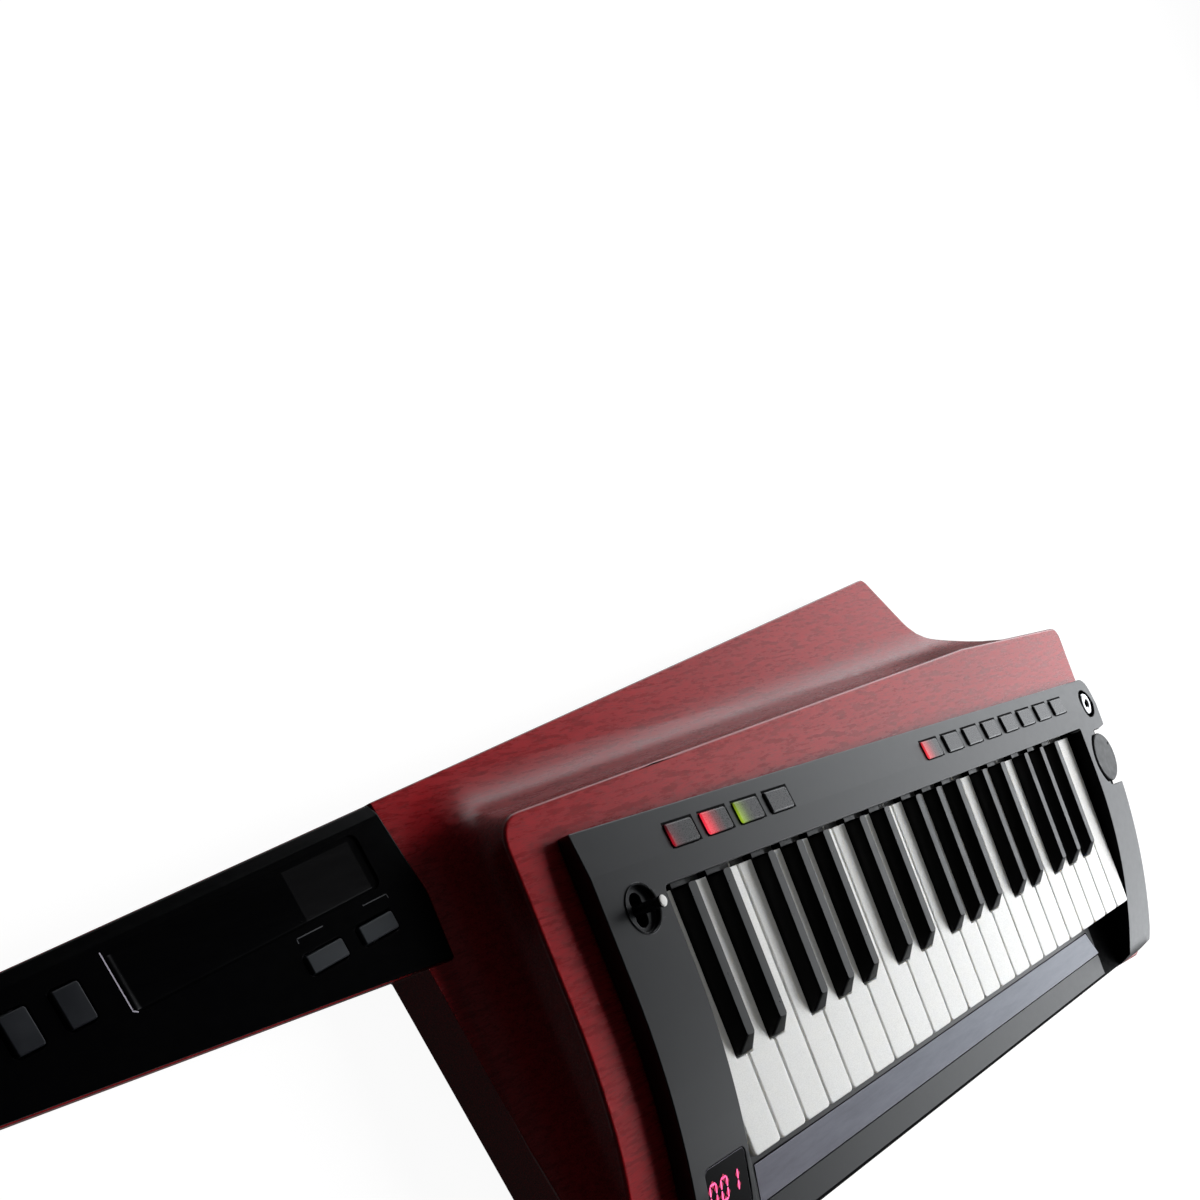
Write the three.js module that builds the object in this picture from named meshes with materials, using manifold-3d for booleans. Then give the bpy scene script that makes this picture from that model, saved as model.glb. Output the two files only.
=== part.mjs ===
// Keytar: a strap-worn keyboard with a carved wooden body, a curved control panel and a touch-strip neck.
// Millimetres. X runs along the keys from the lowest one, Y from the key fronts to the back edge of the body,
// and Z up from the tops of the white keys. The last lines centre the finished instrument on its own box.

import * as THREE from 'three';
import { mergeVertices } from 'three/addons/utils/BufferGeometryUtils.js';
import Module from 'manifold-3d';

// Clearances, shared by all pieces
const overrun = 3;
const restGap = 0.3;
const slideGap = 0.4;

// Keys
const whiteKeyCount = 22;
const keyPitch = 20.3;
const keyGap = 1;
const keyThickness = 12;
const keySoftEdge = 0.5;
const whiteCornerRadius = 2;
const keyTailGap = 3;
const whiteTopBack = 108.4;
const whiteTailDrop = 4;
const keyDip = 6.8;
const blackKeyFront = 38;
const blackKeyBackGap = 2.1;
const blackKeyWidth = 10.2;
const blackKeyRise = 6.6;
const blackNotchGap = 0.6;
const blackCornerRadius = 1.3;
const blackSkirt = 1.2;
const blackFlankLean = 1.8;
const blackFrontLean = 5.8;
const blackSoftEdge = 0.6;

// Control panel over the wooden body
const wellSideGap = 1.5;
const wellBack = 110.6;
const wellCornerRadius = 2;
const leftCheekWidth = 39;
const rightCheekWidth = 40.9;
const cheekHollowDepth = 4.3;
const cheekHollowFront = -25;
const cheekHollowBack = 110;
const cheekHollowSteps = 16;
const panelHeight = 8.5;
const panelFront = -38.5;
const backStripWidth = 29.1;
const panelFlatFront = 80;
const panelCurveRadius = 330;
const panelBevelWidth = 17.7;
const panelBevelDrop = 2.2;
const panelNoseRun = 4.5;
const panelNoseRise = 2.8;
const panelCornerRadius = 8;
const panelNeckCornerRadius = 1;
const panelSkin = 2.5;
const panelBackWall = 5.7;
const lipClearance = 2;
const railThickness = 2.5;
const railBack = -2.5;
const railLip = 1.5;
const railNose = 2;

// Touch strip let into the rail
const stripBack = -8.3;
const stripFront = -23.4;
const stripRecess = 0.9;
const stripThickness = 0.7;
const stripLeftInset = 23.3;
const stripRightInset = 35.2;
const stripFrontSpread = 4.8;
const stripFrontReach = 8.6;

// Panel buttons
const buttonLength = 18.3;
const buttonDepth = 9.7;
const buttonCornerRadius = 1.2;
const buttonSoftEdge = 0.6;
const buttonProud = 1.1;
const buttonTravel = 1;
const buttonGap = 0.6;
const buttonSetback = 0.8;
const flangeWidth = 1.1;
const flangeThickness = 1;
const functionButtonCount = 4;
const functionButtonInset = 14;
const functionButtonPitch = 24.6;
const presetButtonCount = 8;
const presetButtonInset = 12.5;
const presetButtonPitch = 25.36;

// Selector lever in its round well
const leverInset = 21.8;
const leverSetback = 34.3;
const roundWellRadius = 9.2;
const leverWellDepth = 2.2;
const leverTipHeight = 19;
const leverPivotDepth = 5;
const leverBallRadius = 3.5;
const leverCapRadius = 2.3;
const leverCapHeight = 1.6;
const leverNeckRadius = 1.9;
const leverWaistRadius = 2.4;
const leverSlotRadius = 3.6;
const leverLobeRadius = 3.3;
const leverLobeOffset = 3.45;
const leverRimHeight = 0.3;
const leverRimWidth = 0.7;

// Display window in the left cheek
const displayInset = 8.3;
const displayWidth = 27.7;
const displayFront = -16;
const displayBack = 7;
const displayDepth = 1;
const displayCornerRadius = 2.5;

// Volume dial and headphone socket in the right cheek
const dialRadius = 15.7;
const dialInset = 16;
const dialSetback = 51.4;
const dialWellGap = 2.8;
const dialMouthSlant = 1.3;
const dialThickness = 7;
const dialSoftEdge = 0.8;
const dialShaftRadius = 3;
const dialShaftLength = 9;
const dialPointerRadius = 1.1;
const dialPointerDepth = 0.4;
const dialPointerInset = 3;
const dialPointerAngle = THREE.MathUtils.degToRad(35);
const socketInset = 14.7;
const socketSetback = 15.9;
const socketWellDepth = 4;
const socketNutRadius = 6.7;
const socketNutDrop = 0.7;
const socketBoreRadius = 1.8;
const socketBarrelRadius = 4.5;
const socketBarrelLength = 13;
const socketBoreEnd = 2;

// Wooden body, laid out from the panel: rims and insets from its ends, depths behind its back edge
const endRim = 4.5;
const frontFlare = 4;
const frontFlareInset = 60;
const frontFlareRadius = 20;
const frontCornerRadius = 4;
const backRim = 37.3;
const hornFootInset = 52.3;
const hornWaistInset = 137.7;
const hornWaistDepth = 53.3;
const hornPeakInset = 177.5;
const hornPeakDepth = 91.7;
const hornFootRadius = 40;
const hornWaistRadius = 55;
const hornPeakRadius = 7.5;
const bodyCornerRadius = 8;
const sideFootRim = 32.3;
const sideRootRim = 57.5;
const rootRadius = 1;
const neckFrontSetback = 26.2;
const neckLength = 230.5;
const neckTipWidth = 32;
const neckBendRun = 66.6;
const neckBendWidth = 35.5;
const neckBendRadius = 60;
const neckTipRadius = 12;
const wingDepth = 25;
const wingThickness = 21;
const deckRim = 25;
const deckCornerRadius = 12;
const deckBendInset = 142;
const deckBendDepth = 36.8;
const deckStartDepth = 13.2;
const coveRadius = 25;
const wellWallGap = 0.3;
const woodWellFront = -6;
const strapButtonLength = 11;
const strapButtonRadius = 4;
const strapButtonHeadRadius = 6.5;
const strapButtonHead = 2.5;
const strapButtonZ = -30;
const endStrapButtonY = 20;
const neckStrapButtonInset = 32.5;

// Neck cover and its controls, placed along and across the neck from the middle of its touch strip
const coverRise = 1;
const coverThickness = 4.7;
const coverRootReach = 12.4;
const coverWaistRise = 25;
const coverWaistRadius = 16;
const coverShoulderReach = 3.6;
const coverBevelWidth = 4.2;
const coverBevelDrop = 1.8;
const coverCornerRadius = 1;
const coverInset = 0.4;
const neckStripRootGap = 62.1;
const neckStripSetback = 16.63;
const neckStripLength = 104.5;
const neckStripWidth = 19.8;
const neckStripDepth = 0.8;
const neckStripCornerRadius = 3;
const octaveButtonLength = 9;
const octaveButtonDepth = 11.8;
const octaveButtonOffset = 67.8;
const octaveButtonPitch = 17;
const modeButtonLength = 16.7;
const modeButtonDepth = 6.3;
const modeButtonOffset = 17.05;
const modeButtonPitch = 24.5;
const modeButtonDrop = 21.6;
const neckButtonCornerRadius = 0.9;

// Rear cover, key bed and feet
const rearThickness = 1.9;
const rearMargin = 14;
const rearCornerRadius = 16;
const rearSideInset = 8;
const footHeight = 1.3;
const footRadius = 8;
const footInset = 20;
const coreGap = 1;
const stopFront = 10;
const stopWidth = 8;
const pivotRailDepth = 7;
const bayInset = 8;
const bayLength = 110;
const bayWidth = 28;
const bayWall = 6;
const bayDepth = 14;
const bayCornerRadius = 3;
const bayChamfer = 1;
const rearSocketCount = 4;
const rearSocketRadius = 1.8;
const rearSocketDepth = 3;
const rearCollarRadius = 4.2;
const rearCollarRise = 0.8;
const lidInset = 61;
const lidLength = 150;
const lidFront = 30;
const lidWidth = 66;
const lidSeam = 0.8;
const lidSeamDepth = 0.7;
const lidCornerRadius = 4;
const thumbLength = 16;
const thumbDepth = 6;
const thumbSink = 1;

// Shares of the key pitch by which each black key stands off the joint of its two white keys
const blackOffsetShares = new Map([[0, -0.118], [1, 0.118], [3, -0.175], [4, 0], [5, 0.175]]);
const keysInOctave = 7;

// Values that follow from the ones above
const keysWidth = whiteKeyCount * keyPitch;
const wellLeft = -wellSideGap;
const wellRight = keysWidth + wellSideGap;
const panelLeft = wellLeft - leftCheekWidth;
const panelRight = wellRight + rightCheekWidth;
const panelBack = wellBack + backStripWidth;
const panelCrease = panelBack - panelBevelWidth;
const cavityBack = panelBack - panelBackWall;
const keyTailBack = cavityBack - keyTailGap;
const blackKeyBack = wellBack - blackKeyBackGap;
const woodCurveRadius = panelCurveRadius - panelHeight;
const panelFloor = restGap;
const noseFootZ = deckHeight(panelFront, panelFloor) + panelNoseRise;
const railTop = noseFootZ;
const railBottom = railTop - railThickness;
const coreTop = railBottom - railLip - coreGap;
const stopTop = -keyThickness - keyDip;
const wingTop = -wingDepth;
const bodyBottom = wingTop - wingThickness;
const bodyFront = panelFront;
const flareFront = bodyFront - frontFlare;
const bodyRight = panelRight + endRim;
const neckFront = panelBack - neckFrontSetback;
const neckRootX = panelLeft - sideRootRim;
const neckTipX = neckRootX - neckLength;
const neckBend = { x: neckTipX + neckBendRun, y: neckFront + neckBendWidth };
const hornPeak = { x: panelRight - hornPeakInset, y: panelBack + hornPeakDepth };
const neckAngle = Math.atan2(hornPeak.y - neckBend.y, hornPeak.x - neckBend.x);
const bodyReach = bodyRight - neckTipX;
const coverTop = wingTop + coverRise;
const coverBottom = coverTop - coverThickness;
const rearTop = bodyBottom - restGap;
const rearBottom = rearTop - rearThickness;
const bevelAngle = Math.atan(panelBevelDrop / panelBevelWidth);
const leverX = panelLeft + leverInset;
const leverY = panelBack - leverSetback;
const displayLeft = panelLeft + displayInset;
const dialX = panelRight - dialInset;
const dialY = panelBack - dialSetback;
const dialFloor = panelHeight - dialThickness - restGap;
const socketX = panelRight - socketInset;
const socketY = panelBack - socketSetback;
const stripBackLeft = wellLeft + stripLeftInset;
const stripBackRight = wellRight - stripRightInset;
const bayRight = wellRight - bayInset;
const bayBack = cavityBack - bayWall;
const arcSteps = 5;
const turnSteps = 32;

const wasm = await Module();
wasm.setup();

const at = (x, y) => new THREE.Vector2(x, y);

// Solids and joins

function solidOf(geometry) {
  const bare = geometry.clone();
  bare.deleteAttribute('normal');
  bare.deleteAttribute('uv');
  const merged = mergeVertices(bare);
  const corners = merged.index.array;
  const faces = [];
  for (let i = 0; i < corners.length; i += 3) {
    const [a, b, c] = corners.slice(i, i + 3);
    if (a !== b && b !== c && c !== a) faces.push(a, b, c);
  }
  const vertProperties = new Float32Array(merged.attributes.position.array);
  const triVerts = new Uint32Array(faces);
  return new wasm.Manifold(new wasm.Mesh({ numProp: 3, vertProperties, triVerts }));
}

function geometryOf(solid) {
  const mesh = solid.getMesh();
  const geometry = new THREE.BufferGeometry();
  geometry.setAttribute('position', new THREE.BufferAttribute(mesh.vertProperties, 3));
  geometry.setIndex(new THREE.BufferAttribute(mesh.triVerts, 1));
  const faceted = geometry.toNonIndexed();
  faceted.computeVertexNormals();
  return faceted;
}

function joined(solids) {
  return solids.reduce((whole, next) => whole.add(next));
}

function cut(solid, cutters) {
  return cutters.reduce((left, cutter) => left.subtract(cutter), solid);
}

// Outlines

function crossing(first, second) {
  const across = first.along.cross(second.along);
  const between = second.start.clone().sub(first.start);
  return first.start.clone().addScaledVector(first.along, between.cross(second.along) / across);
}

// Outline through corners [x, y, radius] in anticlockwise order, with every side moved out by grow
function rounded(corners, grow = 0, steps = arcSteps) {
  const sides = corners.map(([x, y], i) => {
    const [nextX, nextY] = corners[(i + 1) % corners.length];
    const along = at(nextX - x, nextY - y).normalize();
    const start = at(x, y).addScaledVector(at(along.y, -along.x), grow);
    return { start, along };
  });
  return corners.flatMap(([, , radius], i) => {
    const before = sides.at(i - 1);
    const after = sides[i];
    const corner = crossing(before, after);
    if (!radius) return [corner];
    const turn = Math.sign(before.along.cross(after.along));
    const bend = turn * (radius + turn * grow);
    const swing = Math.atan2(before.along.cross(after.along), before.along.dot(after.along));
    const start = corner.clone().addScaledVector(before.along, -Math.abs(bend) * Math.tan(Math.abs(swing) / 2));
    const centre = start.clone().addScaledVector(at(-before.along.y, before.along.x), bend);
    const places = Array.from({ length: steps + 1 }, (_, step) => (swing * step) / steps);
    return places.map((angle) => start.clone().rotateAround(centre, angle));
  });
}

function rectangle(left, right, front, back, radius = 0) {
  return [[left, front, radius], [right, front, radius], [right, back, radius], [left, back, radius]];
}

function circle(x, y, radius, steps = turnSteps) {
  const angles = Array.from({ length: steps }, (_, step) => (2 * Math.PI * step) / steps);
  return angles.map((angle) => at(x + radius * Math.cos(angle), y + radius * Math.sin(angle)));
}

// Points of an arc of a circle that is level at its top, for the panel's and the deck's fall to the front
function fall(radius, topY, topZ, frontY, steps) {
  const sweep = Math.asin((topY - frontY) / radius);
  const angles = Array.from({ length: steps + 1 }, (_, step) => (sweep * step) / steps);
  return angles.map((angle) => at(topY - radius * Math.sin(angle), topZ - radius * (1 - Math.cos(angle))));
}

// Forms

function prism(outline, bottom, top) {
  const shape = new THREE.Shape(outline);
  const body = new THREE.ExtrudeGeometry(shape, { depth: top - bottom, bevelEnabled: false });
  return solidOf(body.translate(0, 0, bottom));
}

// Profile in Y and Z, carried along X
function carried(profile, left, right) {
  const shape = new THREE.Shape(profile);
  const body = new THREE.ExtrudeGeometry(shape, { depth: right - left, bevelEnabled: false });
  const turned = new THREE.Matrix4().set(0, 0, 1, left, 1, 0, 0, 0, 0, 1, 0, 0, 0, 0, 0, 1);
  return solidOf(body.applyMatrix4(turned));
}

function box(left, right, front, back, bottom, top) {
  const body = new THREE.BoxGeometry(right - left, back - front, top - bottom);
  return solidOf(body.translate((left + right) / 2, (front + back) / 2, (bottom + top) / 2));
}

function drum(x, y, radius, bottom, top) {
  return prism(circle(x, y, radius), bottom, top);
}

// Profile [radius, height] turned about an upright axis
function turnedAbout(x, y, profile, steps = turnSteps) {
  const points = profile.map(([radius, height]) => at(radius, height));
  const body = new THREE.LatheGeometry(points, steps);
  return solidOf(body.rotateX(Math.PI / 2).translate(x, y, 0));
}

// Solid through outlines of equal point count, each at its own height
function loft(rings) {
  const count = rings[0].outline.length;
  const positions = rings.flatMap(({ outline, z }) => outline.flatMap((point) => [point.x, point.y, z]));
  const faces = [];
  for (let ring = 0; ring + 1 < rings.length; ring += 1) {
    for (let i = 0; i < count; i += 1) {
      const here = ring * count + i;
      const next = ring * count + ((i + 1) % count);
      faces.push(here, next, next + count, here, next + count, here + count);
    }
  }
  const last = (rings.length - 1) * count;
  for (const [a, b, c] of THREE.ShapeUtils.triangulateShape(rings[0].outline, [])) faces.push(c, b, a);
  for (const [a, b, c] of THREE.ShapeUtils.triangulateShape(rings.at(-1).outline, [])) {
    faces.push(a + last, b + last, c + last);
  }
  const geometry = new THREE.BufferGeometry();
  geometry.setAttribute('position', new THREE.Float32BufferAttribute(positions, 3));
  geometry.setIndex(faces);
  return solidOf(geometry);
}

// Plate with a small chamfer round its top edge
function softPlate(corners, bottom, top, soft, steps = 3) {
  return loft([
    { outline: rounded(corners, 0, steps), z: bottom },
    { outline: rounded(corners, 0, steps), z: top - soft },
    { outline: rounded(corners, -soft, steps), z: top },
  ]);
}

// Materials

function finish(colour, roughness, metalness = 0) {
  return new THREE.MeshStandardMaterial({ color: colour, roughness, metalness });
}

const wood = finish(0x6e1a12, 0.35);
const panelPlastic = finish(0x3a3a3c, 0.45);
const coverPlastic = finish(0x141416, 0.4);
const stripFilm = finish(0x6a6570, 0.15);
const whitePlastic = finish(0xf0f0ee, 0.25);
const blackPlastic = finish(0x101010, 0.35);
const buttonPlastic = finish(0x9a9a9c, 0.4);
const darkPlastic = finish(0x1c1c1e, 0.5);
const dialPlastic = finish(0x4a4a4c, 0.4);

// Keys

function blackKeyCentres() {
  const joints = Array.from({ length: whiteKeyCount - 1 }, (_, key) => key);
  const withBlack = joints.filter((key) => blackOffsetShares.has(key % keysInOctave));
  return new Map(withBlack.map((key) => {
    const offset = blackOffsetShares.get(key % keysInOctave) * keyPitch;
    return [key, (key + 1) * keyPitch + offset];
  }));
}

const blackCentres = blackKeyCentres();

function whiteKey(key) {
  const left = key * keyPitch + keyGap / 2;
  const right = (key + 1) * keyPitch - keyGap / 2;
  const reach = blackKeyWidth / 2 + blackNotchGap;
  const notchFront = blackKeyFront - blackNotchGap;
  const corners = [[left, 0, whiteCornerRadius], [right, 0, whiteCornerRadius]];
  if (blackCentres.has(key)) {
    const edge = blackCentres.get(key) - reach;
    corners.push([right, notchFront, 0], [edge, notchFront, 0], [edge, keyTailBack, 0]);
  } else {
    corners.push([right, keyTailBack, 0]);
  }
  if (blackCentres.has(key - 1)) {
    const edge = blackCentres.get(key - 1) + reach;
    corners.push([edge, keyTailBack, 0], [edge, notchFront, 0], [left, notchFront, 0]);
  } else {
    corners.push([left, keyTailBack, 0]);
  }
  const tailEnd = keyTailBack + overrun;
  const aboveTail = box(left - overrun, right + overrun, whiteTopBack, tailEnd, -whiteTailDrop, overrun);
  return softPlate(corners, -keyThickness, 0, keySoftEdge).subtract(aboveTail);
}

function blackKey(centre) {
  const half = blackKeyWidth / 2;
  const ring = (sideIn, frontIn, z) => {
    const corners = rectangle(
      centre - half + sideIn,
      centre + half - sideIn,
      blackKeyFront + frontIn,
      blackKeyBack,
      blackCornerRadius,
    );
    return { outline: rounded(corners, 0, 3), z };
  };
  const shoulder = blackKeyRise - blackSoftEdge;
  const raised = loft([
    ring(0, 0, -keyThickness / 2),
    ring(0, 0, blackSkirt),
    ring(blackFlankLean, blackFrontLean, shoulder),
    ring(blackFlankLean + blackSoftEdge, blackFrontLean + blackSoftEdge, blackKeyRise),
  ]);
  const tailFront = blackKeyFront + blackCornerRadius;
  const tail = box(centre - half, centre + half, tailFront, keyTailBack, -keyThickness, 0);
  return raised.add(tail);
}

// Control panel

// Upper line of the panel's section from back to front, lowered by drop
function panelTopLine(drop) {
  const noseTop = panelFront + panelNoseRun;
  return [
    at(panelBack, panelHeight - panelBevelDrop - drop),
    at(panelCrease, panelHeight - drop),
    ...fall(panelCurveRadius, panelFlatFront, panelHeight - drop, noseTop, 14),
  ];
}

// Height of the deck under the panel at a given distance from the keys
function deckHeight(y, gap) {
  const radius = woodCurveRadius + gap;
  const run = Math.max(panelFlatFront - y, 0);
  return gap - radius + Math.sqrt(radius * radius - run * run);
}

function panelShell() {
  const underLine = fall(woodCurveRadius + panelFloor, panelFlatFront, panelFloor, panelFront, 14).reverse();
  const profile = [...panelTopLine(0), at(panelFront, noseFootZ), ...underLine, at(panelBack, panelFloor)];
  const plan = rectangle(panelLeft, panelRight, panelFront, panelBack, panelCornerRadius).slice(0, 3);
  plan.push([panelLeft, panelBack, panelNeckCornerRadius]);
  const planSolid = prism(rounded(plan), railBottom - overrun, panelHeight + overrun);
  const whole = carried(profile, panelLeft - overrun, panelRight + overrun).intersect(planSolid);
  return whole.subtract(cheekHollow());
}

// Long shallow arc taken off the outer side of the right cheek, in front of the dial
function cheekHollow() {
  const half = (cheekHollowBack - cheekHollowFront) / 2;
  const radius = (half * half + cheekHollowDepth * cheekHollowDepth) / cheekHollowDepth / 2;
  const centreX = panelRight - cheekHollowDepth + radius;
  const sweep = Math.asin(half / radius);
  const stepSweep = (2 * sweep) / cheekHollowSteps;
  const arc = Array.from({ length: cheekHollowSteps + 1 }, (_, step) => {
    const angle = sweep - step * stepSweep;
    const y = cheekHollowFront + half + radius * Math.sin(angle);
    return at(centreX - radius * Math.cos(angle), y);
  });
  const outside = panelRight + overrun;
  const plan = [...arc, at(outside, cheekHollowFront), at(outside, cheekHollowBack)];
  return prism(plan, railBottom - overrun, panelHeight + overrun);
}

function keyWell() {
  const reach = panelFront - overrun;
  const corners = rectangle(wellLeft, wellRight, reach, wellBack, wellCornerRadius);
  const opening = prism(rounded(corners), railBottom - overrun, panelHeight + overrun);
  const underLip = box(wellLeft, wellRight, 0, cavityBack, railBottom, lipClearance);
  const cavityTop = panelTopLine(panelSkin).slice(0, 2);
  const cavityFront = wellBack + panelSkin;
  const cavityProfile = [
    at(cavityBack, bevelHeight(cavityBack) - panelSkin),
    cavityTop[1],
    at(cavityFront, cavityTop[1].y),
    at(cavityFront, railBottom),
    at(cavityBack, railBottom),
  ];
  return joined([opening, underLip, carried(cavityProfile, wellLeft, wellRight)]);
}

// Height of the panel's back bevel
function bevelHeight(y) {
  return panelHeight - (y - panelCrease) * Math.tan(bevelAngle);
}

// Inner wall of a cheek, from the rail up to the panel's surface
function cheekWall(left, right) {
  const back = wellBack + panelSkin;
  const top = [at(back, panelHeight), ...panelTopLine(0).slice(2), at(panelFront, noseFootZ)];
  return carried([...top, at(panelFront, railBottom), at(back, railBottom)], left, right);
}

function frontRail() {
  const profile = [
    at(panelFront, railBottom),
    at(railBack - railLip, railBottom),
    at(railBack - railLip, railBottom - railLip),
    at(railBack, railBottom - railLip),
    at(railBack, railTop),
    at(panelFront + railNose, railTop),
    at(panelFront, railTop - railNose / 2),
  ];
  return carried(profile, wellLeft - panelSkin, wellRight + panelSkin);
}

function stripCorners(grow) {
  return [
    [stripBackLeft - stripFrontSpread - grow, stripFront - grow, 0],
    [stripBackRight + stripFrontReach + grow, stripFront - grow, 0],
    [stripBackRight + grow, stripBack + grow, 0],
    [stripBackLeft - grow, stripBack + grow, 0],
  ];
}

// Placement of what lies on the panel's back bevel
function onBevel(x, along) {
  const tilt = new THREE.Matrix4().makeRotationX(-bevelAngle);
  const seat = new THREE.Matrix4().makeTranslation(x, panelCrease, panelHeight);
  const shift = new THREE.Matrix4().makeTranslation(0, along, 0);
  return seat.multiply(tilt).multiply(shift);
}

// Push button with a flange under the skin that holds it in, about its own middle
function pushButton(length, depth, radius, skin) {
  const plan = rectangle(-length / 2, length / 2, -depth / 2, depth / 2, radius);
  const cap = softPlate(plan, -skin - restGap - flangeThickness, buttonProud, buttonSoftEdge, 2);
  const flange = rounded(plan, flangeWidth, 2);
  return cap.add(prism(flange, -skin - restGap - flangeThickness, -skin - restGap));
}

function buttonHole(length, depth, radius, skin) {
  const plan = rectangle(-length / 2, length / 2, -depth / 2, depth / 2, radius);
  return prism(rounded(plan, buttonGap, 2), -skin - overrun, buttonProud + overrun);
}

function placed(solid, matrix) {
  return solidOf(geometryOf(solid).applyMatrix4(matrix));
}

function row(count, start, pitch) {
  return Array.from({ length: count }, (_, i) => start + i * pitch);
}

const functionStart = wellLeft + functionButtonInset + buttonLength / 2;
const presetRun = (presetButtonCount - 1) * presetButtonPitch;
const presetStart = wellRight - presetButtonInset - buttonLength / 2 - presetRun;
const functionButtonXs = row(functionButtonCount, functionStart, functionButtonPitch);
const presetButtonXs = row(presetButtonCount, presetStart, presetButtonPitch);
const buttonAlong = buttonSetback + buttonDepth / 2;

function panelButton(x) {
  const button = pushButton(buttonLength, buttonDepth, buttonCornerRadius, panelSkin);
  return placed(button, onBevel(x, buttonAlong));
}

function panelButtonHole(x) {
  const hole = buttonHole(buttonLength, buttonDepth, buttonCornerRadius, panelSkin);
  return placed(hole, onBevel(x, buttonAlong));
}

// Window over the digits, sunk along the curve of the cheek
function displayRecess() {
  const right = displayLeft + displayWidth;
  const corners = rectangle(displayLeft, right, displayFront, displayBack, displayCornerRadius);
  const plan = prism(rounded(corners), railTop, panelHeight + overrun);
  const floor = panelTopLine(displayDepth).slice(2);
  const last = floor.at(-1);
  const profile = [at(panelFlatFront, panelHeight + overrun), ...floor, at(last.x, panelHeight + overrun)];
  return plan.intersect(carried(profile, displayLeft - overrun, right + overrun));
}

function leverSlot() {
  const top = panelHeight + overrun;
  const bottom = -overrun;
  const well = drum(leverX, leverY, roundWellRadius, panelHeight - leverWellDepth, top);
  const middle = drum(leverX, leverY, leverSlotRadius, bottom, top);
  const lobes = [-1, 1].map((side) => {
    const y = leverY + side * leverLobeOffset;
    return drum(leverX, y, leverLobeRadius, bottom, top);
  });
  return joined([well, middle, ...lobes]);
}

function roundRim(x, y) {
  const bottom = panelHeight - leverRimHeight;
  const outer = drum(x, y, roundWellRadius + leverRimWidth, bottom, panelHeight + leverRimHeight);
  return outer.subtract(drum(x, y, roundWellRadius, 0, panelHeight + overrun));
}

function dialWell() {
  const reach = dialRadius + dialWellGap;
  const top = panelHeight + overrun;
  const pocket = drum(dialX, dialY, reach, dialFloor, top);
  const mouthPlan = [
    at(dialX, dialY - reach),
    at(panelRight + overrun, dialY - reach),
    at(panelRight + overrun, dialY + reach + dialMouthSlant),
    at(dialX, dialY + reach - dialMouthSlant),
  ];
  const mouth = prism(mouthPlan, dialFloor, top);
  const shaftHole = drum(dialX, dialY, dialShaftRadius + restGap, -overrun, top);
  return joined([pocket, mouth, shaftHole]);
}

function socketWell() {
  const floor = panelHeight - socketWellDepth;
  return drum(socketX, socketY, roundWellRadius, floor, panelHeight + overrun);
}

function socketBody() {
  const nutTop = panelHeight - socketNutDrop;
  const nut = drum(socketX, socketY, socketNutRadius, panelFloor, nutTop);
  const barrel = drum(socketX, socketY, socketBarrelRadius, -socketBarrelLength, nutTop - socketNutDrop);
  return nut.add(barrel);
}

function socketBore() {
  return drum(socketX, socketY, socketBoreRadius, -socketBarrelLength + socketBoreEnd, panelHeight);
}

function keyboardPanel() {
  const shell = panelShell().subtract(keyWell());
  const leftWall = cheekWall(wellLeft - panelSkin, wellLeft);
  const rightWall = cheekWall(wellRight, wellRight + panelSkin);
  const framed = joined([shell, leftWall, rightWall, frontRail(), roundRim(leverX, leverY)]);
  const stripSeat = prism(rounded(stripCorners(slideGap)), railTop - stripRecess, railTop + overrun);
  const buttonHoles = [...functionButtonXs, ...presetButtonXs].map(panelButtonHole);
  const cutters = [stripSeat, displayRecess(), leverSlot(), dialWell(), socketWell(), ...buttonHoles];
  return cut(framed, cutters).add(socketBody()).subtract(socketBore());
}

function longRibbon() {
  const bottom = railTop - stripRecess + restGap;
  return prism(rounded(stripCorners(0)), bottom, bottom + stripThickness);
}

function selectorLever() {
  const pivot = -leverPivotDepth;
  const capBottom = leverTipHeight - leverCapHeight;
  const profile = [
    [0, pivot - leverBallRadius],
    [leverBallRadius * Math.SQRT1_2, pivot - leverBallRadius * Math.SQRT1_2],
    [leverBallRadius, pivot],
    [leverWaistRadius, pivot + leverBallRadius * Math.SQRT1_2],
    [leverWaistRadius, panelHeight - leverWellDepth],
    [leverNeckRadius, capBottom],
    [leverCapRadius, capBottom],
    [leverCapRadius, leverTipHeight - leverCapHeight / 3],
    [leverCapRadius - leverCapHeight / 3, leverTipHeight],
    [0, leverTipHeight],
  ];
  return turnedAbout(leverX, leverY, profile, 24);
}

function volumeDial() {
  const bottom = dialFloor + restGap;
  const profile = [
    [0, bottom - dialShaftLength],
    [dialShaftRadius, bottom - dialShaftLength],
    [dialShaftRadius, bottom],
    [dialRadius - dialSoftEdge, bottom],
    [dialRadius, bottom + dialSoftEdge],
    [dialRadius, panelHeight - dialSoftEdge],
    [dialRadius - dialSoftEdge, panelHeight],
    [0, panelHeight],
  ];
  const knob = turnedAbout(dialX, dialY, profile, 48);
  const pointerX = dialX + (dialRadius - dialPointerInset) * Math.cos(dialPointerAngle);
  const pointerY = dialY + (dialRadius - dialPointerInset) * Math.sin(dialPointerAngle);
  const dimpleTop = panelHeight + overrun;
  return knob.subtract(drum(pointerX, pointerY, dialPointerRadius, panelHeight - dialPointerDepth, dimpleTop));
}

// Wooden body

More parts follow.
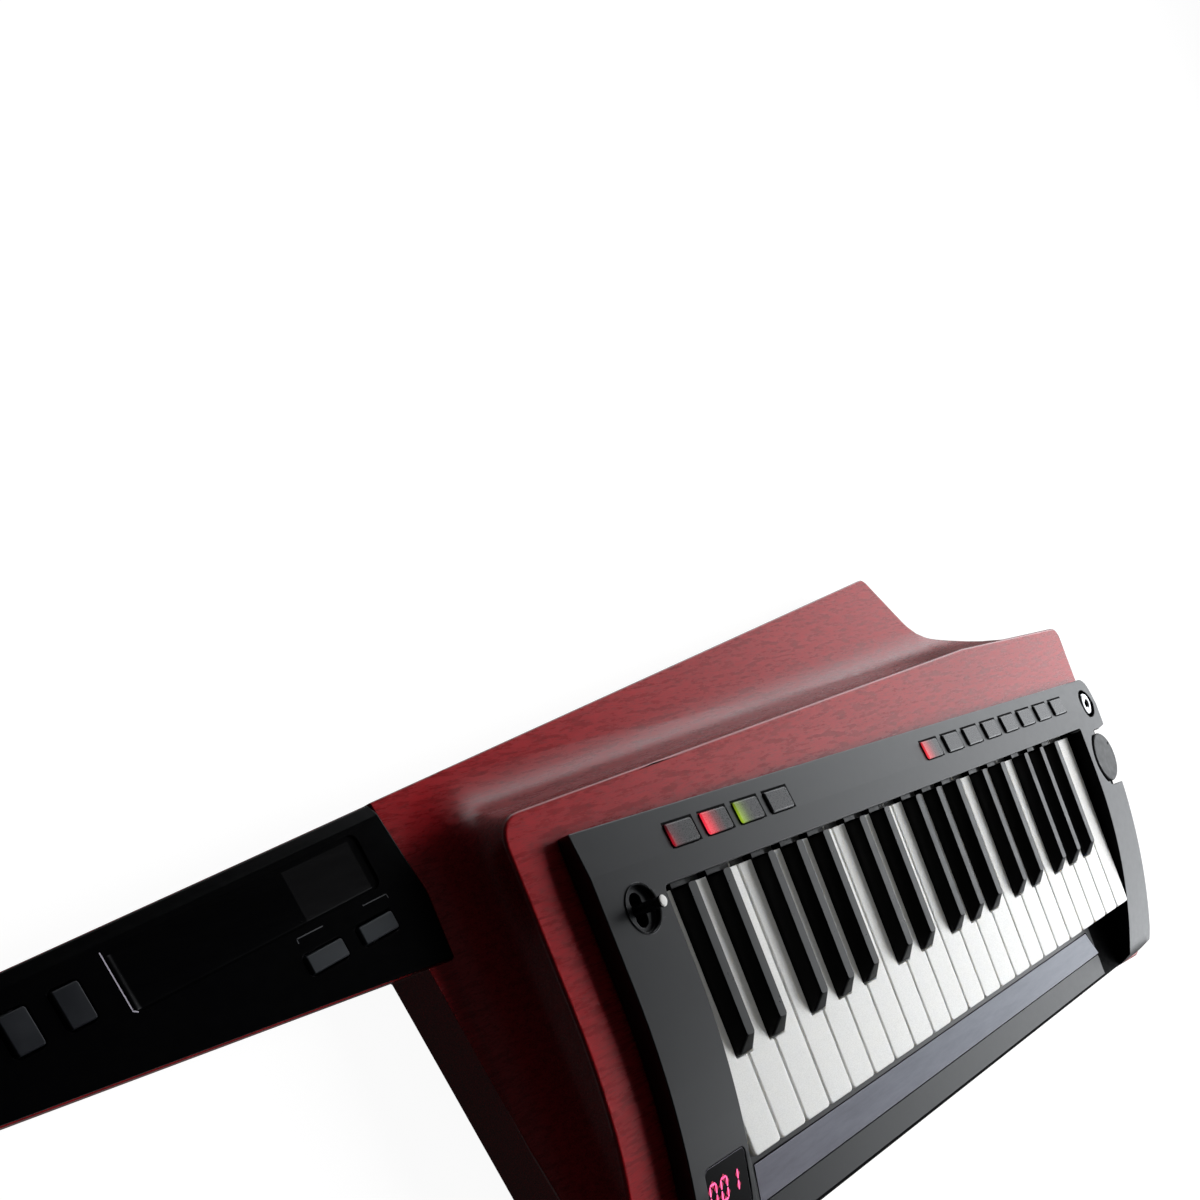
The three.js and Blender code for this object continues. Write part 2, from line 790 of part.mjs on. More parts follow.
// Plan of the whole body, anticlockwise from the front corner nearest the neck
function bodyCorners() {
  return [
    [panelLeft - sideFootRim, bodyFront, bodyCornerRadius],
    [panelRight - frontFlareInset, bodyFront, frontFlareRadius],
    [bodyRight, flareFront, frontCornerRadius],
    [bodyRight, panelBack + backRim, bodyCornerRadius],
    [panelRight - hornFootInset, panelBack + backRim, hornFootRadius],
    [panelRight - hornWaistInset, panelBack + hornWaistDepth, hornWaistRadius],
    [hornPeak.x, hornPeak.y, hornPeakRadius],
    [neckBend.x, neckBend.y, neckBendRadius],
    [neckTipX, neckFront + neckTipWidth, neckTipRadius],
    [neckTipX, neckFront, neckTipRadius],
    [neckRootX, neckFront, rootRadius],
  ];
}

// Deck outline, open past the front and the right end, where the body's own outline ends it
function deckCorners() {
  const left = panelLeft - deckRim;
  const farRight = bodyRight + coveRadius * 2;
  const farFront = flareFront - coveRadius * 2;
  return [
    [left, farFront, 0],
    [farRight, farFront, 0],
    [farRight, panelBack + backRim, 0],
    [panelRight - deckBendInset, panelBack + deckBendDepth, coveRadius],
    [left, panelBack + deckStartDepth, deckCornerRadius],
  ];
}

// Raised deck with a hollow quarter-round cove down to the wing
function carvedDeck() {
  const coveSteps = 8;
  const stepAngle = Math.PI / 2 / coveSteps;
  const angles = Array.from({ length: coveSteps + 1 }, (_, step) => stepAngle * (coveSteps - step));
  const rings = angles.map((angle) => ({
    outline: rounded(deckCorners(), coveRadius * (1 - Math.cos(angle))),
    z: -coveRadius * Math.sin(angle),
  }));
  const foot = { outline: rings[0].outline, z: wingTop - overrun };
  const crown = { outline: rings.at(-1).outline, z: overrun };
  const deck = loft([foot, ...rings, crown]);
  const surface = fall(woodCurveRadius, panelFlatFront, 0, flareFront - overrun, 14);
  const profile = [
    at(hornPeak.y, 0),
    ...surface,
    at(surface.at(-1).x, bodyBottom),
    at(hornPeak.y, bodyBottom),
  ];
  return deck.intersect(carried(profile, neckTipX, bodyRight + overrun));
}

function strapButton() {
  const headStart = strapButtonLength - strapButtonHead;
  const profile = [
    [0, -overrun],
    [strapButtonRadius, -overrun],
    [strapButtonRadius, headStart - strapButtonHead],
    [strapButtonHeadRadius, headStart],
    [strapButtonHeadRadius, strapButtonLength],
    [0, strapButtonLength],
  ];
  return turnedAbout(0, 0, profile, 24);
}

function strapButtons() {
  const toRight = new THREE.Matrix4().makeRotationY(Math.PI / 2);
  const toFront = new THREE.Matrix4().makeRotationX(Math.PI / 2);
  const end = new THREE.Matrix4().makeTranslation(bodyRight, endStrapButtonY, strapButtonZ).multiply(toRight);
  const neckX = neckTipX + neckStrapButtonInset;
  const neckZ = (coverBottom + bodyBottom) / 2;
  const neck = new THREE.Matrix4().makeTranslation(neckX, neckFront, neckZ).multiply(toFront);
  return [placed(strapButton(), end), placed(strapButton(), neck)];
}

// Back edge of the neck, which runs on straight to the horn
function ridgeY(x) {
  return neckBend.y + (x - neckBend.x) * Math.tan(neckAngle);
}

// Plan of the neck cover, which shares the neck's own edges up to the deck's foot
function coverCorners() {
  const right = neckRootX + coverRootReach;
  const shoulderX = neckRootX + coverShoulderReach;
  return [
    [neckTipX, neckFront, neckTipRadius],
    [right, neckFront, coverCornerRadius],
    [right, neckFront + coverWaistRise, coverWaistRadius],
    [shoulderX, ridgeY(shoulderX), 0],
    [neckBend.x, neckBend.y, neckBendRadius],
    [neckTipX, neckFront + neckTipWidth, neckTipRadius],
  ];
}

// Placement along and across the neck, from the middle of the neck's touch strip
function onNeck(along, across) {
  const seat = new THREE.Matrix4().makeTranslation(neckRootX, ridgeY(neckRootX), coverTop);
  const turn = new THREE.Matrix4().makeRotationZ(neckAngle);
  const shift = new THREE.Matrix4().makeTranslation(along - neckStripRootGap, across - neckStripSetback, 0);
  return seat.multiply(turn).multiply(shift);
}

const octaveSpots = [0, 1].map((i) => onNeck(-octaveButtonOffset - i * octaveButtonPitch, 0));
const modeSpots = [0, 1].map((i) => onNeck(modeButtonOffset + i * modeButtonPitch, -modeButtonDrop));

function octaveButton(spot) {
  return placed(pushButton(octaveButtonLength, octaveButtonDepth, neckButtonCornerRadius, coverThickness), spot);
}

function modeButton(spot) {
  return placed(pushButton(modeButtonLength, modeButtonDepth, neckButtonCornerRadius, coverThickness), spot);
}

// Pocket in the wood that gives a neck button room for its flange and its travel
function buttonPocket(length, depth, spot) {
  const room = flangeWidth + slideGap;
  const plan = rectangle(-length / 2, length / 2, -depth / 2, depth / 2);
  const floor = -coverThickness - restGap - flangeThickness - buttonTravel - restGap;
  return placed(prism(rounded(plan, room), floor, 0), spot);
}

function woodPockets() {
  const octave = octaveSpots.map((spot) => buttonPocket(octaveButtonLength, octaveButtonDepth, spot));
  const mode = modeSpots.map((spot) => buttonPocket(modeButtonLength, modeButtonDepth, spot));
  const leverFloor = -leverPivotDepth - leverBallRadius - restGap;
  const lever = drum(leverX, leverY, leverLobeRadius + leverLobeOffset, leverFloor, overrun);
  const shaftEnd = dialFloor + restGap - dialShaftLength - restGap;
  const dial = drum(dialX, dialY, dialShaftRadius + restGap, shaftEnd, overrun);
  const barrel = drum(socketX, socketY, socketBarrelRadius + restGap, -socketBarrelLength - restGap, overrun);
  return [...octave, ...mode, lever, dial, barrel];
}

function woodBody() {
  const outline = rounded(bodyCorners());
  const slab = prism(outline, bodyBottom, wingTop);
  const deck = carvedDeck().intersect(prism(outline, wingTop - overrun, overrun));
  const wallOut = panelSkin + wellWallGap;
  const well = box(
    wellLeft - wallOut,
    wellRight + wallOut,
    woodWellFront,
    cavityBack,
    bodyBottom - overrun,
    overrun,
  );
  const railSeat = box(
    wellLeft - wallOut,
    wellRight + wallOut,
    flareFront - overrun,
    woodWellFront + overrun,
    railBottom - restGap,
    overrun,
  );
  const coverSeat = prism(rounded(coverCorners(), restGap), coverBottom - restGap, overrun);
  const whole = joined([slab, deck, ...strapButtons()]);
  return cut(whole, [well, railSeat, coverSeat, ...woodPockets()]);
}

function neckCover() {
  const plan = prism(rounded(coverCorners(), -coverInset), coverBottom, coverTop);
  const bevelled = carried([
    at(-bodyReach, coverBottom - overrun),
    at(overrun, coverBottom - overrun),
    at(overrun, coverTop - coverBevelDrop),
    at(-coverInset, coverTop - coverBevelDrop),
    at(-coverInset - coverBevelWidth, coverTop),
    at(-coverInset - coverBevelWidth, coverTop + overrun),
    at(-bodyReach, coverTop + overrun),
  ], -bodyReach, bodyReach);
  const seat = new THREE.Matrix4().makeTranslation(neckBend.x, neckBend.y, 0);
  const turned = seat.multiply(new THREE.Matrix4().makeRotationZ(neckAngle));
  const stripPlan = rectangle(
    -neckStripLength / 2,
    neckStripLength / 2,
    -neckStripWidth / 2,
    neckStripWidth / 2,
    neckStripCornerRadius,
  );
  const strip = placed(prism(rounded(stripPlan), -neckStripDepth, overrun), onNeck(0, 0));
  const octaveHole = buttonHole(octaveButtonLength, octaveButtonDepth, neckButtonCornerRadius, coverThickness);
  const modeHole = buttonHole(modeButtonLength, modeButtonDepth, neckButtonCornerRadius, coverThickness);
  const holes = [
    ...octaveSpots.map((spot) => placed(octaveHole, spot)),
    ...modeSpots.map((spot) => placed(modeHole, spot)),
  ];
  return cut(plan.intersect(placed(bevelled, turned)), [strip, ...holes]);
}

// Rear cover and key bed

function rearChassis() {
  const plan = rectangle(
    panelLeft + rearSideInset,
    panelRight - rearSideInset,
    bodyFront + rearSideInset,
    cavityBack + rearMargin,
    rearCornerRadius,
  );
  const plate = prism(rounded(plan), rearBottom, rearTop);
  const coreLeft = wellLeft - panelSkin + coreGap;
  const coreRight = wellRight + panelSkin - coreGap;
  const core = box(coreLeft, coreRight, woodWellFront + coreGap, cavityBack - coreGap, rearTop, coreTop);
  const bedLeft = wellLeft + coreGap;
  const bedRight = wellRight - coreGap;
  const stop = box(bedLeft, bedRight, stopFront, stopFront + stopWidth, coreTop, stopTop);
  const pivotTop = -keyThickness - restGap;
  const pivotRail = box(bedLeft, bedRight, keyTailBack - pivotRailDepth, keyTailBack, coreTop, pivotTop);
  const feet = [plan[0][0] + footInset, plan[1][0] - footInset].flatMap((x) => {
    const ys = [plan[0][1] + footInset, plan[2][1] - footInset];
    return ys.map((y) => drum(x, y, footRadius, rearBottom - footHeight, rearBottom));
  });
  const whole = joined([plate, core, stop, pivotRail, ...feet]);
  return cut(whole, [socketBay(), lidSeamRing(), thumbRecess()]).add(rearCollars());
}

function socketBay() {
  const plan = rectangle(bayRight - bayLength, bayRight, bayBack - bayWidth, bayBack, bayCornerRadius);
  const ceiling = rearBottom + bayDepth;
  const bay = prism(rounded(plan), rearBottom - overrun, ceiling);
  const mouth = loft([
    { outline: rounded(plan, bayChamfer), z: rearBottom - overrun },
    { outline: rounded(plan, bayChamfer), z: rearBottom },
    { outline: rounded(plan), z: rearBottom + bayChamfer },
  ]);
  const bores = rearSocketPlaces().map((place) => {
    const bore = prism(circle(0, 0, rearSocketRadius, 16), -rearSocketDepth, rearCollarRise + overrun);
    return placed(bore, place);
  });
  return joined([bay, mouth, ...bores]);
}

function rearSocketPlaces() {
  const pitch = bayLength / rearSocketCount;
  const middle = rearBottom + bayDepth / 2;
  return Array.from({ length: rearSocketCount }, (_, i) => {
    const x = bayRight - bayLength + (i + 1 / 2) * pitch;
    const seat = new THREE.Matrix4().makeTranslation(x, bayBack, middle);
    return seat.multiply(new THREE.Matrix4().makeRotationX(Math.PI / 2));
  });
}

function rearCollars() {
  const collars = rearSocketPlaces().map((place) => {
    const ring = prism(circle(0, 0, rearCollarRadius, 16), -rearSocketDepth / 2, rearCollarRise);
    const bore = prism(circle(0, 0, rearSocketRadius, 16), -rearSocketDepth, rearCollarRise + overrun);
    return placed(ring.subtract(bore), place);
  });
  return joined(collars);
}

function lidSeamRing() {
  const left = wellLeft + lidInset;
  const plan = rectangle(left, left + lidLength, lidFront, lidFront + lidWidth, lidCornerRadius);
  const outer = prism(rounded(plan), rearBottom - overrun, rearBottom + lidSeamDepth);
  return outer.subtract(prism(rounded(plan, -lidSeam), rearBottom - overrun * 2, rearBottom + overrun));
}

function thumbRecess() {
  const middle = wellLeft + lidInset + lidLength / 2;
  const front = lidFront + lidSeam * 2;
  const left = middle - thumbLength / 2;
  const plan = rectangle(left, left + thumbLength, front, front + thumbDepth, thumbDepth / 3);
  return prism(rounded(plan), rearBottom - overrun, rearBottom + thumbSink);
}

// Assembly

const keytar = new THREE.Group();

function addPart(name, solid, material) {
  const mesh = new THREE.Mesh(geometryOf(solid), material);
  mesh.name = name;
  keytar.add(mesh);
}

const numbered = (name, i) => `${name}_${String(i + 1).padStart(2, '0')}`;

addPart('wood_body', woodBody(), wood);
addPart('keyboard_panel', keyboardPanel(), panelPlastic);
addPart('neck_cover', neckCover(), coverPlastic);
addPart('rear_chassis', rearChassis(), darkPlastic);
addPart('long_ribbon', longRibbon(), stripFilm);
addPart('selector_lever', selectorLever(), blackPlastic);
addPart('volume_dial', volumeDial(), dialPlastic);
for (let key = 0; key < whiteKeyCount; key += 1) {
  addPart(numbered('white_key', key), whiteKey(key), whitePlastic);
}
[...blackCentres.values()].forEach((centre, i) => {
  addPart(numbered('black_key', i), blackKey(centre), blackPlastic);
});
functionButtonXs.forEach((x, i) => addPart(numbered('function_button', i), panelButton(x), buttonPlastic));
presetButtonXs.forEach((x, i) => addPart(numbered('preset_button', i), panelButton(x), buttonPlastic));
octaveSpots.forEach((spot, i) => addPart(numbered('octave_button', i), octaveButton(spot), buttonPlastic));
modeSpots.forEach((spot, i) => addPart(numbered('ribbon_mode_button', i), modeButton(spot), buttonPlastic));

// Stand the instrument on its feet, with its box centred over the origin
const bounds = new THREE.Box3().setFromObject(keytar);
const middle = bounds.getCenter(new THREE.Vector3());
keytar.position.set(-middle.x, -middle.y, -bounds.min.z);
keytar.updateMatrixWorld(true);

export default keytar;
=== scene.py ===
import math

import bmesh
import bpy
from mathutils import Matrix, Vector


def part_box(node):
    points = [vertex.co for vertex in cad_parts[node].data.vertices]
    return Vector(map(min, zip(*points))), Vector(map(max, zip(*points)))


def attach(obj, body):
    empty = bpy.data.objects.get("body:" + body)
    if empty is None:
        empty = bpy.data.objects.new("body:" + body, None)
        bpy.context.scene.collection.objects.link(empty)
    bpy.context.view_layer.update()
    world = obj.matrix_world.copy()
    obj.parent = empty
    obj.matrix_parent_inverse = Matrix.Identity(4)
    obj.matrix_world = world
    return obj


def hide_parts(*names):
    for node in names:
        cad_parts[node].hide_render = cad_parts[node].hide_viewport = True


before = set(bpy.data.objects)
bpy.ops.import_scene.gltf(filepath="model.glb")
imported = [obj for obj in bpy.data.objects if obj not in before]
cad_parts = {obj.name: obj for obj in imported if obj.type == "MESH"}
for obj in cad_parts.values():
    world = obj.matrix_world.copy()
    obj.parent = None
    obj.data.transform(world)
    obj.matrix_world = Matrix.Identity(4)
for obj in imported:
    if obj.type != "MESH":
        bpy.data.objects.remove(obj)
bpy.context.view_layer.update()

# Places are given in the part's own millimetres: X along the keys, Y to the back, Z up from the
# white keys. Bevels, cells, noises and lamps are in this frame's metres.
SHIFT = (-88, -94.355906, 49.5)
MM = 0.001

CHASSIS = "chassis"

scene = bpy.context.scene
scene.view_settings.view_transform = "Standard"


def at(x, y, z):
    """Point of this frame for a place in the part's millimetres."""
    return Vector((x + SHIFT[0], y + SHIFT[1], z + SHIFT[2])) * MM


def in_part(point):
    """Place in the part's millimetres for a point of this frame."""
    return Vector(point) / MM - Vector(SHIFT)


def numbered(stem, count):
    return [f"{stem}_{number:02d}" for number in range(1, count + 1)]


# Camera


def add_camera():
    """The photograph's own view, with its picture's middle moved off the camera's axis."""
    picture = 1200
    right = Vector((0.595214, -0.370479, 0.713068))
    up = Vector((0.288122, 0.926769, 0.241007))
    ahead = Vector((0.750137, -0.062000, -0.658369))
    data = bpy.data.cameras.new("camera")
    data.sensor_fit = "HORIZONTAL"
    data.sensor_width = 36
    data.lens = 42.0069
    data.shift_x = -20 / picture
    data.shift_y = 420 / picture
    data.clip_start = 0.01
    data.clip_end = 60
    camera = bpy.data.objects.new("camera", data)
    turn = Matrix((right, up, -ahead)).transposed().to_4x4()
    camera.matrix_world = Matrix.Translation(at(-422.839, 102.484, 332.313)) @ turn
    scene.collection.objects.link(camera)
    scene.camera = camera


# Nodes

# Values of a noise at which a tone or a gloss reaches its two ends
NOISE_LOW, NOISE_HIGH = 0.3, 0.7

BLACK = (0, 0, 0)
WHITE = (1, 1, 1)


class Tree:
    """Adds nodes to the tree of a material or of the world."""

    def __init__(self, owner):
        owner.use_nodes = True
        self.tree = owner.node_tree

    def node(self, kind, **inputs):
        made = self.tree.nodes.new(kind)
        for key, value in inputs.items():
            made.inputs[key.replace("_", " ")].default_value = value
        return made

    def link(self, source, target):
        self.tree.links.new(source, target)

    def ramp(self, value, stops):
        """Colour that runs through stops, each a place from 0 to 1 and its colour."""
        made = self.node("ShaderNodeValToRGB")
        ramp = made.color_ramp
        while len(ramp.elements) < len(stops):
            ramp.elements.new(0.5)
        for element, (place, colour) in zip(ramp.elements, stops):
            element.position = place
            element.color = (*colour, 1)
        self.link(value, made.inputs["Fac"])
        return made.outputs["Color"]

    def spread(self, value, low, high, into_low, into_high, easing="LINEAR"):
        """The range from low to high laid over another one."""
        made = self.node(
            "ShaderNodeMapRange", From_Min=low, From_Max=high, To_Min=into_low, To_Max=into_high
        )
        made.interpolation_type = easing
        self.link(value, made.inputs["Value"])
        return made.outputs["Result"]

    def added(self, first, second):
        """Sum of two shares, kept from 0 to 1."""
        made = self.node("ShaderNodeMath")
        made.operation = "ADD"
        made.use_clamp = True
        self.link(first, made.inputs[0])
        self.link(second, made.inputs[1])
        return made.outputs[0]

    def end(self, kind, share, first, second):
        """Ends a tree in a mix of two shaders, by the share of the second."""
        mix = self.node("ShaderNodeMixShader")
        for place, source in enumerate((share, first, second)):
            self.link(source, mix.inputs[place])
        self.link(mix.outputs[0], self.node(kind).inputs["Surface"])


class Finish(Tree):
    """One material round its Principled shader."""

    def __init__(self, name):
        self.material = bpy.data.materials.new(name)
        super().__init__(self.material)
        self.shader = self.tree.nodes["Principled BSDF"]

    def set(self, **inputs):
        for key, value in inputs.items():
            self.shader.inputs[key.replace("_", " ")].default_value = value

    def place(self, scale=(1, 1, 1)):
        coords = self.node("ShaderNodeTexCoord")
        mapping = self.node("ShaderNodeMapping", Scale=scale)
        self.link(coords.outputs["Object"], mapping.inputs["Vector"])
        return mapping.outputs["Vector"]

    def noise(self, where, scale, detail=3, rough=0.5):
        made = self.node("ShaderNodeTexNoise", Scale=scale, Detail=detail, Roughness=rough)
        self.link(where, made.inputs["Vector"])
        return made.outputs["Fac"]

    def multiply(self, share, first, second):
        made = self.node("ShaderNodeMix")
        made.data_type = "RGBA"
        made.blend_type = "MULTIPLY"
        made.inputs[0].default_value = share
        self.link(first, made.inputs[6])
        self.link(second, made.inputs[7])
        return made.outputs[2]

    def colour(self, source):
        self.link(source, self.shader.inputs["Base Color"])

    def tones(self, value, dark, light):
        """Colour between two tones, by a noise."""
        return self.ramp(value, [(NOISE_LOW, dark), (NOISE_HIGH, light)])

    def gloss(self, value, low, high):
        """Roughness between two values, by a noise."""
        rough = self.spread(value, NOISE_LOW, NOISE_HIGH, low, high)
        self.link(rough, self.shader.inputs["Roughness"])

    def bump(self, height, strength, distance):
        made = self.node("ShaderNodeBump", Strength=strength, Distance=distance)
        self.link(height, made.inputs["Height"])
        self.link(made.outputs["Normal"], self.shader.inputs["Normal"])


# Materials


def plastic(
    name, dark, light, roughness,
    grain=0.0004, depth=0.00002, strength=0.25, uneven=0.06, specular=0.5,
):
    """Moulded plastic: a fine spark-eroded grain, slow colour drift and uneven gloss."""
    b = Finish(name)
    where = b.place()
    b.colour(b.tones(b.noise(where, 28, 4, 0.6), dark, light))
    b.gloss(b.noise(where, 240), roughness - uneven, roughness + uneven)
    b.bump(b.noise(where, 1 / grain, 2), strength, depth)
    b.set(Specular_IOR_Level=specular)
    return b.material


def stained_wood(name, roughness=0.25, specular=0.34):
    """Red stained veneer: fine pores and streaks that run along the body, under a satin lacquer."""
    b = Finish(name)
    pores = b.noise(b.place((1, 7, 7)), 230, 4, 0.65)
    streaks = b.noise(b.place((1, 6, 6)), 75, 5, 0.65)
    broad = b.noise(b.place((1, 3, 3)), 6)
    stain = b.tones(broad, (0.280, 0.0075, 0.0118), (0.336, 0.0100, 0.0146))
    figure = b.ramp(streaks, [(0.36, (0.58, 0.50, 0.52)), (0.58, WHITE)])
    flecks = b.ramp(pores, [(0.36, (0.42, 0.34, 0.36)), (0.48, WHITE)])
    b.colour(b.multiply(0.65, b.multiply(0.8, stain, figure), flecks))
    b.gloss(streaks, roughness, roughness + 0.06)
    b.bump(pores, 0.2, 0.00004)
    b.set(Specular_IOR_Level=specular)
    return b.material


def glossy_black(name, tint, roughness, specular=0.5, sheen=WHITE):
    """Polished touch film: nearly clean gloss with faint wipe marks."""
    b = Finish(name)
    wipe = b.noise(b.place((1, 7, 1)), 45, 4, 0.7)
    b.colour(b.tones(wipe, tint, tuple(c * 1.25 for c in tint)))
    b.gloss(wipe, roughness, roughness + 0.05)
    b.bump(b.noise(b.place(), 900, 2), 0.05, 0.00001)
    b.set(Specular_IOR_Level=specular, Specular_Tint=(*sheen, 1))
    return b.material


def ivory(name):
    """White key plastic: a trace of warmth, a fine grain in tone and gloss, and polish marks."""
    b = Finish(name)
    grain = b.noise(b.place(), 3200, 2)
    b.colour(b.tones(grain, (0.688, 0.691, 0.683), (0.712, 0.715, 0.707)))
    b.gloss(grain, 0.26, 0.29)
    b.bump(b.noise(b.place((1, 0.2, 1)), 2600, 2), 0.05, 0.00001)
    b.set(Subsurface_Weight=0.6, Subsurface_Scale=0.006, Subsurface_Radius=(1, 0.95, 0.85))
    return b.material


def metal(name, tone, roughness):
    """Turned and plated metal: fine rings left by the tool."""
    b = Finish(name)
    rings = b.noise(b.place((1, 1, 12)), 700)
    b.colour(b.tones(rings, tuple(c * 0.9 for c in tone), tone))
    b.gloss(rings, roughness, roughness + 0.1)
    b.bump(rings, 0.1, 0.00001)
    b.set(Metallic=1.0)
    return b.material


def smoked_lens(name, glow=None, lamp=None, reach=None):
    """Smoked button cap; a lit one glows round its lamp, in an oval that is longer along Y."""
    b = Finish(name)
    fine = b.noise(b.place(), 2200, 2)
    b.colour(b.tones(fine, (0.030, 0.030, 0.032), (0.042, 0.042, 0.044)))
    b.gloss(fine, 0.24, 0.34)
    b.bump(fine, 0.12, 0.00001)
    if glow:
        across = 2.0 * reach
        coords = b.node("ShaderNodeTexCoord")
        from_lamp = b.node("ShaderNodeMapping", Scale=(1 / reach, 1 / across, 0))
        from_lamp.inputs["Location"].default_value = (-lamp.x / reach, -lamp.y / across, 0)
        b.link(coords.outputs["Object"], from_lamp.inputs["Vector"])
        away = b.node("ShaderNodeVectorMath")
        away.operation = "LENGTH"
        b.link(from_lamp.outputs["Vector"], away.inputs[0])
        tones = list(zip((0, 0.28, 0.62, 1), (*glow, BLACK)))
        b.link(b.ramp(away.outputs["Value"], tones), b.shader.inputs["Emission Color"])
        b.set(Emission_Strength=1.0)
    return b.material


def glowing(name, core, edge, strength):
    """Lit display bar, hotter where the lamp sits."""
    b = Finish(name)
    spots = b.noise(b.place(), 700, 2)
    b.link(b.ramp(spots, [(0.35, edge), (0.6, core)]), b.shader.inputs["Emission Color"])
    b.set(Base_Color=(0.2, 0.01, 0.05, 1), Emission_Strength=strength, Roughness=0.4)
    return b.material


PRINTED = {"grain": 0.0006, "depth": 0.00001, "strength": 0.1}

# Dark and light tone, roughness, and what departs from the usual plastic
PLASTICS = {
    "panel": (
        (0.0085, 0.0087, 0.0098), (0.0105, 0.0108, 0.0120), 0.30, {"uneven": 0.02, "specular": 0.62}
    ),
    "cover": (
        (0.0006, 0.0006, 0.0008), (0.0010, 0.0010, 0.0013), 0.22, {"uneven": 0.02, "specular": 0.15}
    ),
    "rear": (
        (0.0100, 0.0100, 0.0105), (0.0150, 0.0150, 0.0155), 0.55,
        {"grain": 0.0009, "depth": 0.00005, "strength": 0.5},
    ),
    "lip_highlight": ((0.42, 0.40, 0.47), (0.48, 0.46, 0.53), 0.3, {"strength": 0.05, "specular": 0.8}),
    "lever": ((0.0045, 0.0045, 0.0050), (0.0080, 0.0080, 0.0085), 0.22, {}),
    "dial": ((0.0160, 0.0162, 0.0172), (0.0210, 0.0212, 0.0220), 0.42, {}),
    "black_keys": (
        (0.0008, 0.0008, 0.0009), (0.0014, 0.0014, 0.0015), 0.33,
        {"grain": 0.0005, "depth": 0.00003, "strength": 0.3, "specular": 0.85},
    ),
    "neck_buttons": ((0.024, 0.027, 0.031), (0.031, 0.035, 0.040), 0.45, {}),
    "octave_buttons": ((0.0085, 0.0095, 0.0125), (0.0115, 0.0128, 0.0165), 0.45, {}),
    "white_tip": ((0.72, 0.72, 0.70), (0.78, 0.78, 0.76), 0.3, PRINTED),
    "print": ((0.040, 0.042, 0.046), (0.052, 0.054, 0.058), 0.5, PRINTED),
    "rubber": (
        (0.0120, 0.0120, 0.0125), (0.0200, 0.0200, 0.0205), 0.75,
        {"grain": 0.0007, "depth": 0.00006, "strength": 0.6, "uneven": 0.08, "specular": 0.3},
    ),
    "tail_shade": ((0.030, 0.030, 0.031), (0.040, 0.040, 0.041), 0.5, {}),
    # The next two near-blacks are painted shade: dark in hollows and bores, gap in gaps and shaded
    # faces
    "dark": ((0.0020, 0.0020, 0.0022), (0.0035, 0.0035, 0.0038), 0.6, {}),
    "gap": ((0.0004, 0.0004, 0.0005), (0.0007, 0.0007, 0.0008), 0.7, {"specular": 0.06}),
    "key_front_shade": ((0.0010, 0.0010, 0.0011), (0.0016, 0.0016, 0.0017), 0.45, {"specular": 0.2}),
    "cap_edge_highlight": ((0.085, 0.087, 0.093), (0.105, 0.107, 0.113), 0.3, {"specular": 0.9}),
}

MATERIALS = {
    "wood": stained_wood("wood"),
    "wood_rim": stained_wood("wood_rim", 0.16, 0.8),
    "white_keys": ivory("white_keys"),
    "strip": glossy_black("strip", (0.1250, 0.1180, 0.1420), 0.10, 0.40, (0.45, 0.85, 1.0)),
    "strip_edge_highlight": glossy_black("strip_edge_highlight", (0.2600, 0.2500, 0.3000), 0.20, 0.8),
    "film": glossy_black("film", (0.0008, 0.0008, 0.0010), 0.12, 0.2),
    "film_end_reflection": glossy_black("film_end_reflection", (0.0042, 0.0041, 0.0044), 0.14, 0.42),
    "lens": glossy_black("lens", (0.0014, 0.0013, 0.0016), 0.10, 0.08),
    "chrome": metal("chrome", (0.80, 0.81, 0.83), 0.10),
    "steel": metal("steel", (0.50, 0.50, 0.51), 0.30),
    "glow": glowing("glow", (1.0, 0.16, 0.42), (1.0, 0.06, 0.24), 1.5),
    "halo": glowing("halo", (0.30, 0.004, 0.020), (0.17, 0.001, 0.010), 1.0),
}
for name, (dark, light, roughness, rest) in PLASTICS.items():
    MATERIALS[name] = plastic(name, dark, light, roughness, **rest)


# Forms


def outline(left, right, front, back, radius):
    """Rectangle with round corners, as points in turn."""
    steps = 5
    corners = [(right, front, -90), (right, back, 0), (left, back, 90), (left, front, 180)]
    points = []
    for x, y, start in corners:
        middle_x = x - radius if x == right else x + radius
        middle_y = y - radius if y == back else y + radius
        for step in range(steps + 1):
            turn = math.radians(start + 90 * step / steps)
            points.append((middle_x + radius * math.cos(turn), middle_y + radius * math.sin(turn)))
    return points


def plate(form, points, bottom, top, place):
    """Closed plate over an outline; place turns (x, y, z) into this frame and may bend it."""
    low = [form.verts.new(place(x, y, bottom)) for x, y in points]
    high = [form.verts.new(place(x, y, top)) for x, y in points]
    form.faces.new(high)
    form.faces.new(low[::-1])
    for i in range(len(points)):
        j = (i + 1) % len(points)
        form.faces.new((low[i], low[j], high[j], high[i]))


def stroke(form, start, end, width, place):
    """Thin line between two points, half a width longer at each end, for print and for a painted
    highlight.
    """
    bottom, top = -0.02, 0.03
    a, b = Vector(start), Vector(end)
    along = (b - a).normalized() * width / 2
    aside = Vector((-along.y, along.x))
    corners = [a - along - aside, b + along - aside, b + along + aside, a - along + aside]
    plate(form, [(p.x, p.y) for p in corners], bottom, top, place)


